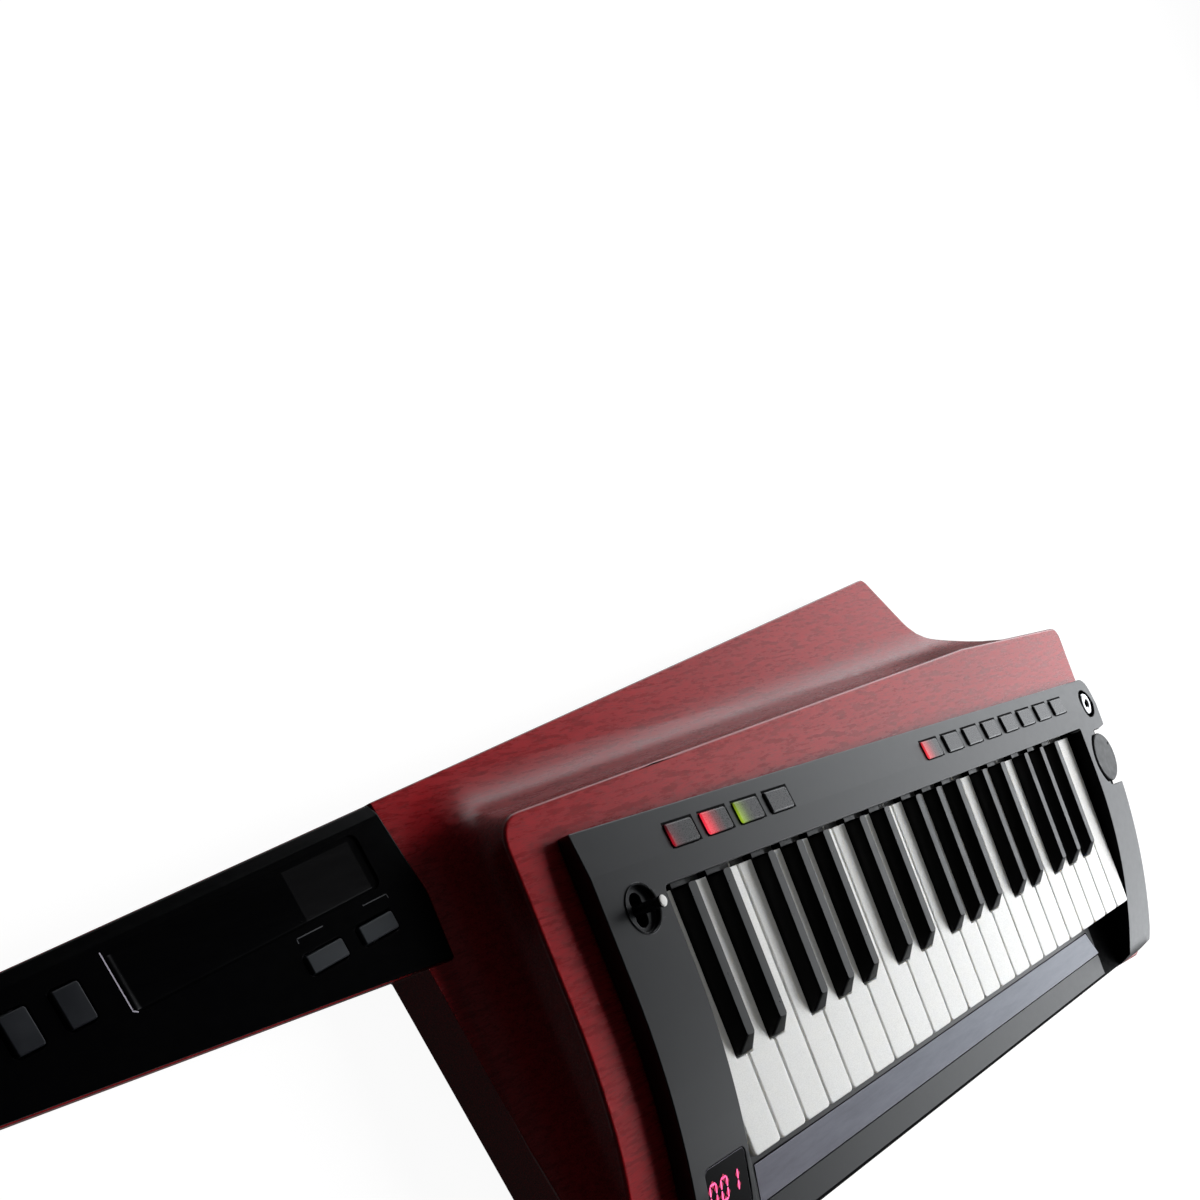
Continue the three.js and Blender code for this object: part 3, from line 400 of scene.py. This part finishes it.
def turned(form, x, y, profile, steps=48):
    """Closed form of a profile of (radius, height) turned about an upright axis."""
    rings = []
    for radius, height in profile:
        if radius == 0:
            rings.append([form.verts.new(at(x, y, height))] * steps)
            continue
        ring = []
        for step in range(steps):
            turn = 2 * math.pi * step / steps
            point = at(x + radius * math.cos(turn), y + radius * math.sin(turn), height)
            ring.append(form.verts.new(point))
        rings.append(ring)
    has_bore = profile[0][0] > 0 and profile[-1][0] > 0
    following = rings[1:] + rings[:1] if has_bore else rings[1:]
    for first, second in zip(rings, following):
        for i in range(steps):
            j = (i + 1) % steps
            corners = list(dict.fromkeys((first[i], first[j], second[j], second[i])))
            if len(corners) > 2:
                form.faces.new(corners)


# Places on the part

# Line along the panel where its face folds down to the back, and how steeply it falls behind it
PANEL_CREASE = 122
BACK_FALL = 0.12429

# The neck's turn, the middle of its touch film, and the height of its cover
NECK_ANGLE = math.radians(8.17766)
NECK_MIDDLE = (-157.103, 147.259)
COVER_TOP = -24

# Axis of the headphone socket
SOCKET = (474.3, 123.8)


def panel_height(y):
    """Height of the panel's face: an arc at the front, then flat, and falling behind the crease."""
    flat_front, radius, top = 80, 330, 8.5
    if y >= flat_front:
        return top - max(0, y - PANEL_CREASE) * BACK_FALL
    return top - radius + math.sqrt(radius**2 - (flat_front - y) ** 2)


def on_panel(x, y, z):
    return at(x, y, panel_height(y) + z)


def on_cover(x, y, z):
    return at(x, y, COVER_TOP + z)


def on_neck(along, across, z):
    cos, sin = math.cos(NECK_ANGLE), math.sin(NECK_ANGLE)
    x = NECK_MIDDLE[0] + along * cos - across * sin
    y = NECK_MIDDLE[1] + along * sin + across * cos
    return on_cover(x, y, z)


def neck_place(middle):
    """Place along and across the neck of a place in the part."""
    cos, sin = math.cos(NECK_ANGLE), math.sin(NECK_ANGLE)
    dx, dy = middle.x - NECK_MIDDLE[0], middle.y - NECK_MIDDLE[1]
    return dx * cos + dy * sin, dy * cos - dx * sin


def off_socket(middle):
    return math.hypot(middle.x - SOCKET[0], middle.y - SOCKET[1])


# Button caps

CAPS = numbered("function_button", 4) + numbered("preset_button", 8)


def cap_box(node):
    """Two corners of the part of a cap that stands out of the panel, without its hidden flange."""
    clear = 0.1
    places = [in_part(vertex.co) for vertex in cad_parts[node].data.vertices]
    shown = [place for place in places if place.z > panel_height(place.y) + clear]
    low, high = ([pick(place[axis] for place in shown) for axis in range(3)] for pick in (min, max))
    return Vector(low), Vector(high)


cap_boxes = [cap_box(node) for node in CAPS]


def surround(form, low, high):
    """Thin black frame round a button cap, painted shade in its gap, wider behind it and widest at
    its right.
    """
    near, rim, behind, broad = 0.1, 0.3, 0.9, 1.9
    bottom, top = -0.3, 0.03
    left, right, front, back = low.x - near, high.x + near, low.y - near, high.y + near
    for x0, x1, y0, y1 in (
        (left - rim, left, front - rim, back + behind),
        (right, right + broad, front - rim, back + behind),
        (left, right, front - rim, front),
        (left, right, back, back + behind),
    ):
        plate(form, [(x0, y0), (x1, y0), (x1, y1), (x0, y1)], bottom, top, on_panel)


# Share of the bevel's width that an edge of a large piece gets, by the edge's middle


def cover_edge(middle):
    """Full width but for the mouth of the film's recess, which stays crisp."""
    half_length, half_width = 53, 10.4
    along, across = neck_place(middle)
    return 0 if abs(along) < half_length and abs(across) < half_width else 1


def panel_edge(middle):
    """Full width but round the button caps, whose openings stay crisp."""
    near = 1.5
    for low, high in cap_boxes:
        if low.x - near < middle.x < high.x + near and low.y - near < middle.y < high.y + near:
            return 0
    return 1


def wood_edge(middle):
    """Full on the deck's rim, less on the outline, hardly any in the seats and at one corner."""
    left, right, front, back, below = -41, 490, -38, 140, -1
    if left < middle.x < right and middle.y < back and middle.z < below:
        in_seat = middle.y > front
    else:
        neck_root, cover_seat = -84, -31
        in_seat = middle.x < neck_root and middle.z > cover_seat
    if in_seat:
        return 0.15
    # The deck's corner at the front left has edges too short for more
    corner_right, corner_back = -45, -8
    if middle.x < corner_right and middle.y < corner_back:
        return 0.1
    rim_bottom = -24.5
    return 1 if middle.z > rim_bottom else 0.45


# Dressing the pieces


def finish_piece(name, form, material, body=CHASSIS, smooth=30):
    """Makes a form a piece that rides on a body; edges above the angle in degrees stay sharp."""
    mesh = bpy.data.meshes.new(name)
    form.normal_update()
    form.to_mesh(mesh)
    form.free()
    made = bpy.data.objects.new(name, mesh)
    scene.collection.objects.link(made)
    mesh.materials.append(MATERIALS[material] if isinstance(material, str) else material)
    mesh.shade_smooth()
    mesh.set_sharp_from_angle(angle=math.radians(smooth))
    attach(made, body)
    return made


def soften(made, width, angle=40, segments=2, method="ANGLE"):
    """Eases the edges by a bevel, where it has a width, and evens out the normals."""
    if width:
        bevel = made.modifiers.new("edges", "BEVEL")
        bevel.width = width
        bevel.segments = segments
        bevel.limit_method = method
        bevel.angle_limit = math.radians(angle)
        bevel.use_clamp_overlap = False
        bevel.miter_outer = "MITER_ARC"
        bevel.harden_normals = True
    normals = made.modifiers.new("normals", "WEIGHTED_NORMAL")
    normals.keep_sharp = True
    return made


def divide(form, cell):
    """Cuts the faces along a square grid, so that none is long enough to shade unevenly."""
    for axis, normal in enumerate((Vector((1, 0, 0)), Vector((0, 1, 0)))):
        low = min(vertex.co[axis] for vertex in form.verts)
        high = max(vertex.co[axis] for vertex in form.verts)
        for step in range(1, math.ceil((high - low) / cell)):
            parts = form.verts[:] + form.edges[:] + form.faces[:]
            cut = normal * (low + step * cell)
            bmesh.ops.bisect_plane(form, geom=parts, plane_co=cut, plane_no=normal, dist=1e-6)


def weigh(form, angle, weight_of):
    """Gives each edge sharper than the angle its share of the bevel's width."""
    layer = form.edges.layers.float.new("bevel_weight_edge")
    for edge in form.edges:
        if len(edge.link_faces) == 2 and edge.calc_face_angle() > math.radians(angle):
            edge[layer] = weight_of(in_part((edge.verts[0].co + edge.verts[1].co) / 2))


def dressed(
    node, material, body=None,
    bevel=0.0, angle=40, smooth=50, segments=2, cell=0.0, weight_of=None,
):
    """A copy of a CAD node: flat triangles joined, edges eased and curved faces shaded smooth."""
    same_point, same_plane = 2e-6, math.radians(0.4)
    form = bmesh.new()
    form.from_mesh(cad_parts[node].data)
    bmesh.ops.remove_doubles(form, verts=form.verts, dist=same_point)
    bmesh.ops.dissolve_limit(form, angle_limit=same_plane, verts=form.verts, edges=form.edges)
    if cell:
        divide(form, cell)
    if weight_of:
        weigh(form, angle, weight_of)
    made = finish_piece(node + "_dressed", form, material, body or node, smooth)
    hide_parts(node)
    return soften(made, bevel, angle, segments, "WEIGHT" if weight_of else "ANGLE")


def fold(made, chosen):
    """Keeps the edges sharp whose two ends pass the test."""
    mesh = made.data
    places = [in_part(vertex.co) for vertex in mesh.vertices]
    for edge in mesh.edges:
        if all(chosen(places[corner]) for corner in edge.vertices):
            edge.use_edge_sharp = True


def polish(made, material):
    """Gives the eased edges a material of their own."""
    made.data.materials.append(MATERIALS[material])
    made.modifiers["edges"].material = len(made.data.materials) - 1


def paint(made, material, *tests):
    """Gives a further material to the faces whose middle and normal pass one of the tests."""
    made.data.materials.append(MATERIALS[material])
    index = len(made.data.materials) - 1
    for face in made.data.polygons:
        middle = in_part(face.center)
        if any(test(middle, face.normal) for test in tests):
            face.material_index = index


END = math.inf
ANY = (-END, END)


def region(x=ANY, y=ANY, z=ANY, facing=None):
    """Test for faces whose middle lies between bounds and whose normal passes its own test."""

    def test(middle, normal):
        between = all(low < value < high for value, (low, high) in zip(middle, (x, y, z)))
        return between and (facing is None or facing(normal))

    return test


# The large pieces, the lever and the dial

wood = dressed(
    "wood_body", "wood", CHASSIS, 0.0013, smooth=40, segments=3, cell=0.02,
    weight_of=wood_edge,
)
polish(wood, "wood_rim")
panel = dressed(
    "keyboard_panel", "panel", CHASSIS, 0.0004, angle=50, smooth=35, cell=0.02,
    weight_of=panel_edge,
)
fold(panel, lambda end: abs(end.y - PANEL_CREASE) < 0.01)
dressed(
    "neck_cover", "cover", CHASSIS, 0.0004, angle=30, smooth=30, segments=3,
    weight_of=cover_edge,
)
rear = dressed("rear_chassis", "rear", CHASSIS, smooth=35)
ribbon = dressed("long_ribbon", "strip", CHASSIS, 0.00025, smooth=40)
# Painted highlight: the ribbon's eased edges take a lighter, glossier black
polish(ribbon, "strip_edge_highlight")
lever = dressed("selector_lever", "lever")
dressed("volume_dial", "dial")

# Wood: the strap buttons at its right end and under its neck, and painted shade: near-black in
# the hollow under the keys and on the wall by the dial

paint(wood, "steel", region(x=(493.7, END)), region(x=(-END, -280), y=(-END, 113.3)))
# Painted shade: near-black in the hollow under the keys
paint(wood, "dark", region(x=(-4.4, 454), y=(-6.1, 134.4), z=(-45.9, -1)))
# Painted shade: near-black on the wood's wall by the dial
paint(wood, "gap", region(x=(468, 493.4), y=(56, 114), z=(-30, END)))

# Panel: the ledge under the socket's nut, painted shade in the bore, and near-black painted shade
# on the rail's front edge, the right wall of the keys' well and the end of the touch strip's groove

NUT_RADIUS = 6.75
BORE_RADIUS = 1.95
ribbon_end = in_part(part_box("long_ribbon")[1]).x


def under_nut(middle, normal):
    ledge = 6.2
    return off_socket(middle) < NUT_RADIUS and middle.z > ledge and normal.z > -0.5


paint(panel, "chrome", under_nut)
# Painted shade: the bore is near-black
paint(panel, "dark", lambda middle, normal: off_socket(middle) < BORE_RADIUS)
# Painted shade: near-black on the rail's front edge, the well's right wall and the groove's end
paint(
    panel,
    "gap",
    region(x=(0, 450), y=(-END, -36.4), facing=lambda normal: normal.y < -0.3),
    region(x=(440, 449), facing=lambda normal: abs(normal.x) > 0.9),
    region(x=(ribbon_end + 0.2, 449), y=(-37, -2), z=(-END, 0)),
)

# The lever's white tip, and the feet of the rear cover

tip_bottom, feet_top = 18.6, -48.3
paint(lever, "white_tip", region(z=(tip_bottom, END)))
paint(rear, "rubber", region(z=(-END, feet_top)))

# Keys: the white ones with painted shade, a dark grey, on their tails under the panel, the black
# ones with painted shade, a duller black, in front and at left

white_keys = []
for node in numbered("white_key", 22):
    key = dressed(node, "white_keys", bevel=0.0004)
    # Painted shade: the tail under the panel takes a dark grey
    paint(key, "tail_shade", region(y=(108.2, END), z=(-7, END)))
    white_keys.append(key)
for node in numbered("black_key", 15):
    key = dressed(node, "black_keys", bevel=0.00012, angle=25, smooth=25)
    # Painted shade: the front and left faces take a duller, less glossy black
    paint(key, "key_front_shade", lambda middle, normal: normal.y < -0.5 or normal.x < -0.5)

# Buttons on the neck

for octave, mode in zip(numbered("octave_button", 2), numbered("ribbon_mode_button", 2)):
    dressed(octave, "octave_buttons")
    dressed(mode, "neck_buttons")

# Button caps: dim red, bright red, yellow-green and unlit at the left, and the first preset lit at
# the right. Each lit one has the tones of its glow from the lamp outwards, and its reach in metres.

DIM_RED = ((0.42, 0.006, 0.018), (0.060, 0.004, 0.007), (0.015, 0.002, 0.003))
RED = ((1.0, 0.045, 0.085), (0.70, 0.016, 0.036), (0.14, 0.006, 0.010))
GREEN = ((0.34, 0.52, 0.02), (0.16, 0.24, 0.012), (0.03, 0.045, 0.004))
ROSE = ((0.90, 0.045, 0.065), (0.50, 0.018, 0.028), (0.10, 0.006, 0.009))
LIT = {
    "function_button_01": (DIM_RED, 0.010),
    "function_button_02": (RED, 0.013),
    "function_button_03": (GREEN, 0.011),
    "preset_button_01": (ROSE, 0.014),
}


def lit_edge(middle, normal):
    """Front and right chamfer of a cap, which catch the light and get a lighter grey as painted
    highlight.
    """
    return 0.3 < normal.z < 0.95 and (normal.y < -0.25 or normal.x > 0.25)


# The lamp's place from a cap's front left corner
lamp_right, lamp_back = -0.3, 2.2
unlit = smoked_lens("button_cap")
# Near-black frames round the caps, as painted shade in their gaps
shade_frames = bmesh.new()
for node, (low, high) in zip(CAPS, cap_boxes):
    smoked = unlit
    if node in LIT:
        glow, reach = LIT[node]
        lamp = at(low.x + lamp_right, low.y + lamp_back, 0)
        smoked = smoked_lens(node + "_cap", glow, lamp, reach)
    cap = dressed(node, smoked, bevel=0.0002, angle=25, smooth=25)
    # Painted shade: the cap's sides take the near-black gap finish
    paint(cap, "gap", region(facing=lambda normal: normal.z < 0.3))
    # Painted highlight: unlit caps get a lighter grey on their front and right chamfer
    if node not in LIT:
        paint(cap, "cap_edge_highlight", lit_edge)
    surround(shade_frames, low, high)
finish_piece("cap_shade_frames", shade_frames, "gap")

# Display: a dark lens let into the left cheek, and its lit bars, each with a dim halo under it

lens_form = bmesh.new()
window = outline(left=-31.9, right=-4.8, front=-15.7, back=6.7, radius=2.2)
plate(lens_form, window, bottom=-0.9, top=-0.25, place=on_panel)
lens = soften(finish_piece("display_lens", lens_form, "lens"), 0.00012)
# Painted highlight: the lens's eased edges take the lighter strip edge finish
polish(lens, "strip_edge_highlight")

# Bars of each digit: a is the top one, and the rest run clockwise
DIGITS = {"0": "abcdef", "1": "bc"}


def digit(form, left, shown, thick, bottom, top):
    """Bars of one digit, in the lens's plane."""
    front, width, height, lean = -8.0, 4.0, 8.4, 0.07
    half = height / 2
    gap = thick * 0.16
    spans = {
        "a": ((0, height), (width, height)),
        "b": ((width, height), (width, half)),
        "c": ((width, half), (width, 0)),
        "d": ((0, 0), (width, 0)),
        "e": ((0, 0), (0, half)),
        "f": ((0, half), (0, height)),
    }
    for bar in DIGITS[shown]:
        start, end = Vector(spans[bar][0]), Vector(spans[bar][1])
        along = (end - start).normalized()
        aside = Vector((-along.y, along.x)) * thick / 2
        a, b = start + along * gap, end - along * gap
        tip = along * thick / 2
        points = [a, a + tip + aside, b - tip + aside, b, b - tip - aside, a + tip - aside]
        flat = [(left + p.x + lean * p.y, front + p.y) for p in points]
        plate(form, flat[::-1], bottom, top, on_panel)


bars_form, halo_form = bmesh.new(), bmesh.new()
for left, shown in ((-31.15, "0"), (-23.7, "0"), (-16.2, "1")):
    digit(bars_form, left, shown, thick=0.85, bottom=-0.19, top=-0.14)
    digit(halo_form, left, shown, thick=2.7, bottom=-0.24, top=-0.2)
finish_piece("display_bars", bars_form, "glow")
finish_piece("display_halo", halo_form, "halo")

# Neck: the touch film, which dips in at its far end, a light stroke there as painted highlight, and
# the printed bracket

# Place along the neck from which the film is a little lighter, as a painted reflection
FILM_END = 17.2


def neck_film():
    """The film as a closed form: rows of points across it at stations along the neck."""
    form = bmesh.new()
    left, right, front, back, bottom = -51.9, 48, -9.05, 8.15, -0.78
    level, dip, dip_steps = -0.35, 2.6, 8
    side_width, side_drop = 0.5, 0.2
    stations = []
    for step in range(dip_steps + 1):
        share = step / dip_steps
        stations.append((left + dip * share, level * (1 - math.cos(math.pi * share)) / 2))
    stations += [(FILM_END, level), (right, level)]
    across = [front, front + side_width, back - side_width, back]
    drops = [side_drop, 0, 0, side_drop]
    top, low = [], []
    for x, z in stations:
        top.append([form.verts.new(on_neck(x, y, z - drop)) for y, drop in zip(across, drops)])
    for x, _ in stations:
        low.append([form.verts.new(on_neck(x, y, bottom)) for y in across])
    last = len(stations) - 1
    for i in range(last):
        for j in range(3):
            form.faces.new((top[i][j], top[i + 1][j], top[i + 1][j + 1], top[i][j + 1]))
            form.faces.new((low[i][j], low[i][j + 1], low[i + 1][j + 1], low[i + 1][j]))
        form.faces.new((low[i][0], low[i + 1][0], top[i + 1][0], top[i][0]))
        form.faces.new((low[i][3], top[i][3], top[i + 1][3], low[i + 1][3]))
    for j in range(3):
        form.faces.new((low[0][j], top[0][j], top[0][j + 1], low[0][j + 1]))
        form.faces.new((low[last][j], low[last][j + 1], top[last][j + 1], top[last][j]))
    return finish_piece("neck_film", form, "film", smooth=35)


film = neck_film()
# Painted reflection: the film's far part is lighter
paint(film, "film_end_reflection", lambda middle, normal: neck_place(middle)[0] > FILM_END)

# Painted highlight: a light stroke along the film's far end edge, hooked at its front
lip_highlight = bmesh.new()
for start, end in (((-52.9, -8.4), (-52.9, 9.6)), ((-52.9, -8.7), (-51.7, -9.5))):
    stroke(lip_highlight, start, end, width=0.45, place=on_neck)
finish_piece("film_lip_highlight", lip_highlight, "lip_highlight")

bracket = bmesh.new()
for start, end in (
    ((-145.65, 135.0), (-145.7, 136.4)),
    ((-145.7, 136.4), (-134.2, 137.9)),
    ((-115.2, 140.3), (-103.8, 141.8)),
    ((-103.8, 141.8), (-103.6, 140.4)),
):
    stroke(bracket, start, end, width=0.4, place=on_cover)
finish_piece("bracket_print", bracket, "print")

# Headphone socket's nut, and the two marks beside the lever

nut = bmesh.new()
ring = [(1.85, 7.0), (1.85, 7.3), (2.9, 7.95), (3.1, 8.05), (5.4, 8.1), (6.3, 7.9)]
ring += [(NUT_RADIUS, 7.4), (NUT_RADIUS, 7.0)]
turned(nut, SOCKET[0], SOCKET[1], ring)
nut = finish_piece("socket_nut", nut, "chrome")
# Painted shade: the nut's face round the bore is dark, so the hole reads wider
bore_shade_radius = 2.7
paint(nut, "dark", lambda middle, normal: off_socket(middle) < bore_shade_radius)

marks = bmesh.new()
mark_length = 1.2
for x, y in ((-9.3, 110.3), (-9.4, 99.5)):
    stroke(marks, (x, y), (x + mark_length, y), width=0.45, place=on_panel)
finish_piece("lever_marks", marks, "print")

# Rear: countersunk screws

screws = bmesh.new()
screw = [(0, -48.25), (1.2, -48.25), (1.3, -48.45), (2.9, -48.35), (3.1, -48.1), (0, -48.1)]
front_row = [(x, -18) for x in (-18, 120, 260, 400)]
back_row = [(x, 136) for x in (-18, 60, 200, 468)]
for x, y in (*front_row, (468, 60), *back_row):
    turned(screws, x, y, screw, steps=24)
finish_piece("rear_screws", screws, "steel", smooth=35)

add_camera()


# Floor, world and lamps

# Share of the floor's white that reflections show
FLOOR_MIRRORED = 0.08

# Light of the sky by a direction's lean to the left and up, from -1 to 1, and its tone
SKY = (
    (-0.25, 1.0), (-0.16, 0.95), (-0.10, 0.72), (-0.02, 0.47), (0.08, 0.22),
    (0.14, 0.10), (0.19, 0.040), (0.30, 0.011), (1.0, 0.004),
)
SKY_LEAN = (-0.6, 0.08, 1)
SKY_TONE = (0.94, 0.97, 1)

# Y parts of the directions between which the soft box fades in, and its strength before and after
SOFT_BOX_FADE = (-0.58, -0.36)
SOFT_BOX = (0.12, 2.5)


def add_floor():
    """Wide floor: white to the camera and through glass, dim to reflections, grey to the lamps."""
    reach = 14
    corners = [(-reach, -reach, 0), (reach, -reach, 0), (reach, reach, 0), (-reach, reach, 0)]
    mesh = bpy.data.meshes.new("floor")
    mesh.from_pydata(corners, [], [(0, 1, 2, 3)])
    floor = bpy.data.objects.new("floor", mesh)
    scene.collection.objects.link(floor)
    material = bpy.data.materials.new("floor")
    t = Tree(material)
    t.tree.nodes.clear()
    rays = t.node("ShaderNodeLightPath")
    mirrored = t.node("ShaderNodeMath")
    mirrored.operation = "MULTIPLY_ADD"
    mirrored.inputs[1].default_value = FLOOR_MIRRORED
    t.link(rays.outputs["Is Glossy Ray"], mirrored.inputs[0])
    t.link(rays.outputs["Is Camera Ray"], mirrored.inputs[2])
    seen = t.added(mirrored.outputs[0], rays.outputs["Is Transmission Ray"])
    plain = t.node("ShaderNodeBsdfDiffuse", Color=(0.09, 0.09, 0.09, 1))
    shade = t.node("ShaderNodeBsdfDiffuse", Color=(0.12, 0.12, 0.12, 1))
    white = t.node("ShaderNodeEmission", Color=(1, 1, 1, 1), Strength=0.95)
    both = t.node("ShaderNodeAddShader")
    t.link(shade.outputs[0], both.inputs[0])
    t.link(white.outputs[0], both.inputs[1])
    t.end("ShaderNodeOutputMaterial", seen, plain.outputs[0], both.outputs[0])
    mesh.materials.append(material)


def add_world():
    """White to the camera; for the rest a wide soft box low at the right end and dark overhead."""
    scene.world = bpy.data.worlds.new("studio")
    t = Tree(scene.world)
    t.tree.nodes.clear()
    rays = t.node("ShaderNodeLightPath")
    seen = t.added(rays.outputs["Is Camera Ray"], rays.outputs["Is Transmission Ray"])
    coords = t.node("ShaderNodeTexCoord")
    lean = t.node("ShaderNodeVectorMath")
    lean.operation = "DOT_PRODUCT"
    lean.inputs[1].default_value = SKY_LEAN
    t.link(coords.outputs["Generated"], lean.inputs[0])
    stops = [((place + 1) / 2, tuple(amount * c for c in SKY_TONE)) for place, amount in SKY]
    colour = t.ramp(t.spread(lean.outputs["Value"], -1, 1, 0, 1), stops)
    apart = t.node("ShaderNodeSeparateXYZ")
    t.link(coords.outputs["Generated"], apart.inputs[0])
    strength = t.spread(apart.outputs["Y"], *SOFT_BOX_FADE, *SOFT_BOX, "SMOOTHSTEP")
    lit = t.node("ShaderNodeBackground")
    t.link(colour, lit.inputs["Color"])
    t.link(strength, lit.inputs["Strength"])
    white = t.node("ShaderNodeBackground", Color=(1, 1, 1, 1))
    t.end("ShaderNodeOutputWorld", seen, lit.outputs[0], white.outputs[0])


def add_lamp(name, place, aim, size, power, tone=WHITE, lights=()):
    """Soft lamp that no reflection shows; where pieces are given, it lights them alone."""
    data = bpy.data.lights.new(name, "AREA")
    data.shape = "RECTANGLE"
    data.size, data.size_y = size
    data.energy = power
    data.color = tone
    lamp = bpy.data.objects.new(name, data)
    lamp.location = place
    lamp.visible_glossy = False
    direction = Vector(aim) - Vector(place)
    lamp.rotation_euler = direction.to_track_quat("-Z", "Y").to_euler()
    scene.collection.objects.link(lamp)
    if lights:
        lamp.light_linking.receiver_collection = bpy.data.collections.new(name)
        for piece in lights:
            lamp.light_linking.receiver_collection.objects.link(piece)


OVERHEAD = {"place": (0.1, 0.0, 1.6), "aim": (0.1, 0.0, 0.0), "size": (1.2, 1.0)}

add_floor()
add_world()
add_lamp("key_lamp", (1.246, -0.175, 0.867), aim=(0.05, 0.0, 0.03), size=(0.9, 0.6), power=33)
add_lamp("fill_lamp", power=1, **OVERHEAD)
add_lamp("key_fill_lamp", power=6.2, tone=(1.0, 1.0, 0.95), lights=white_keys, **OVERHEAD)
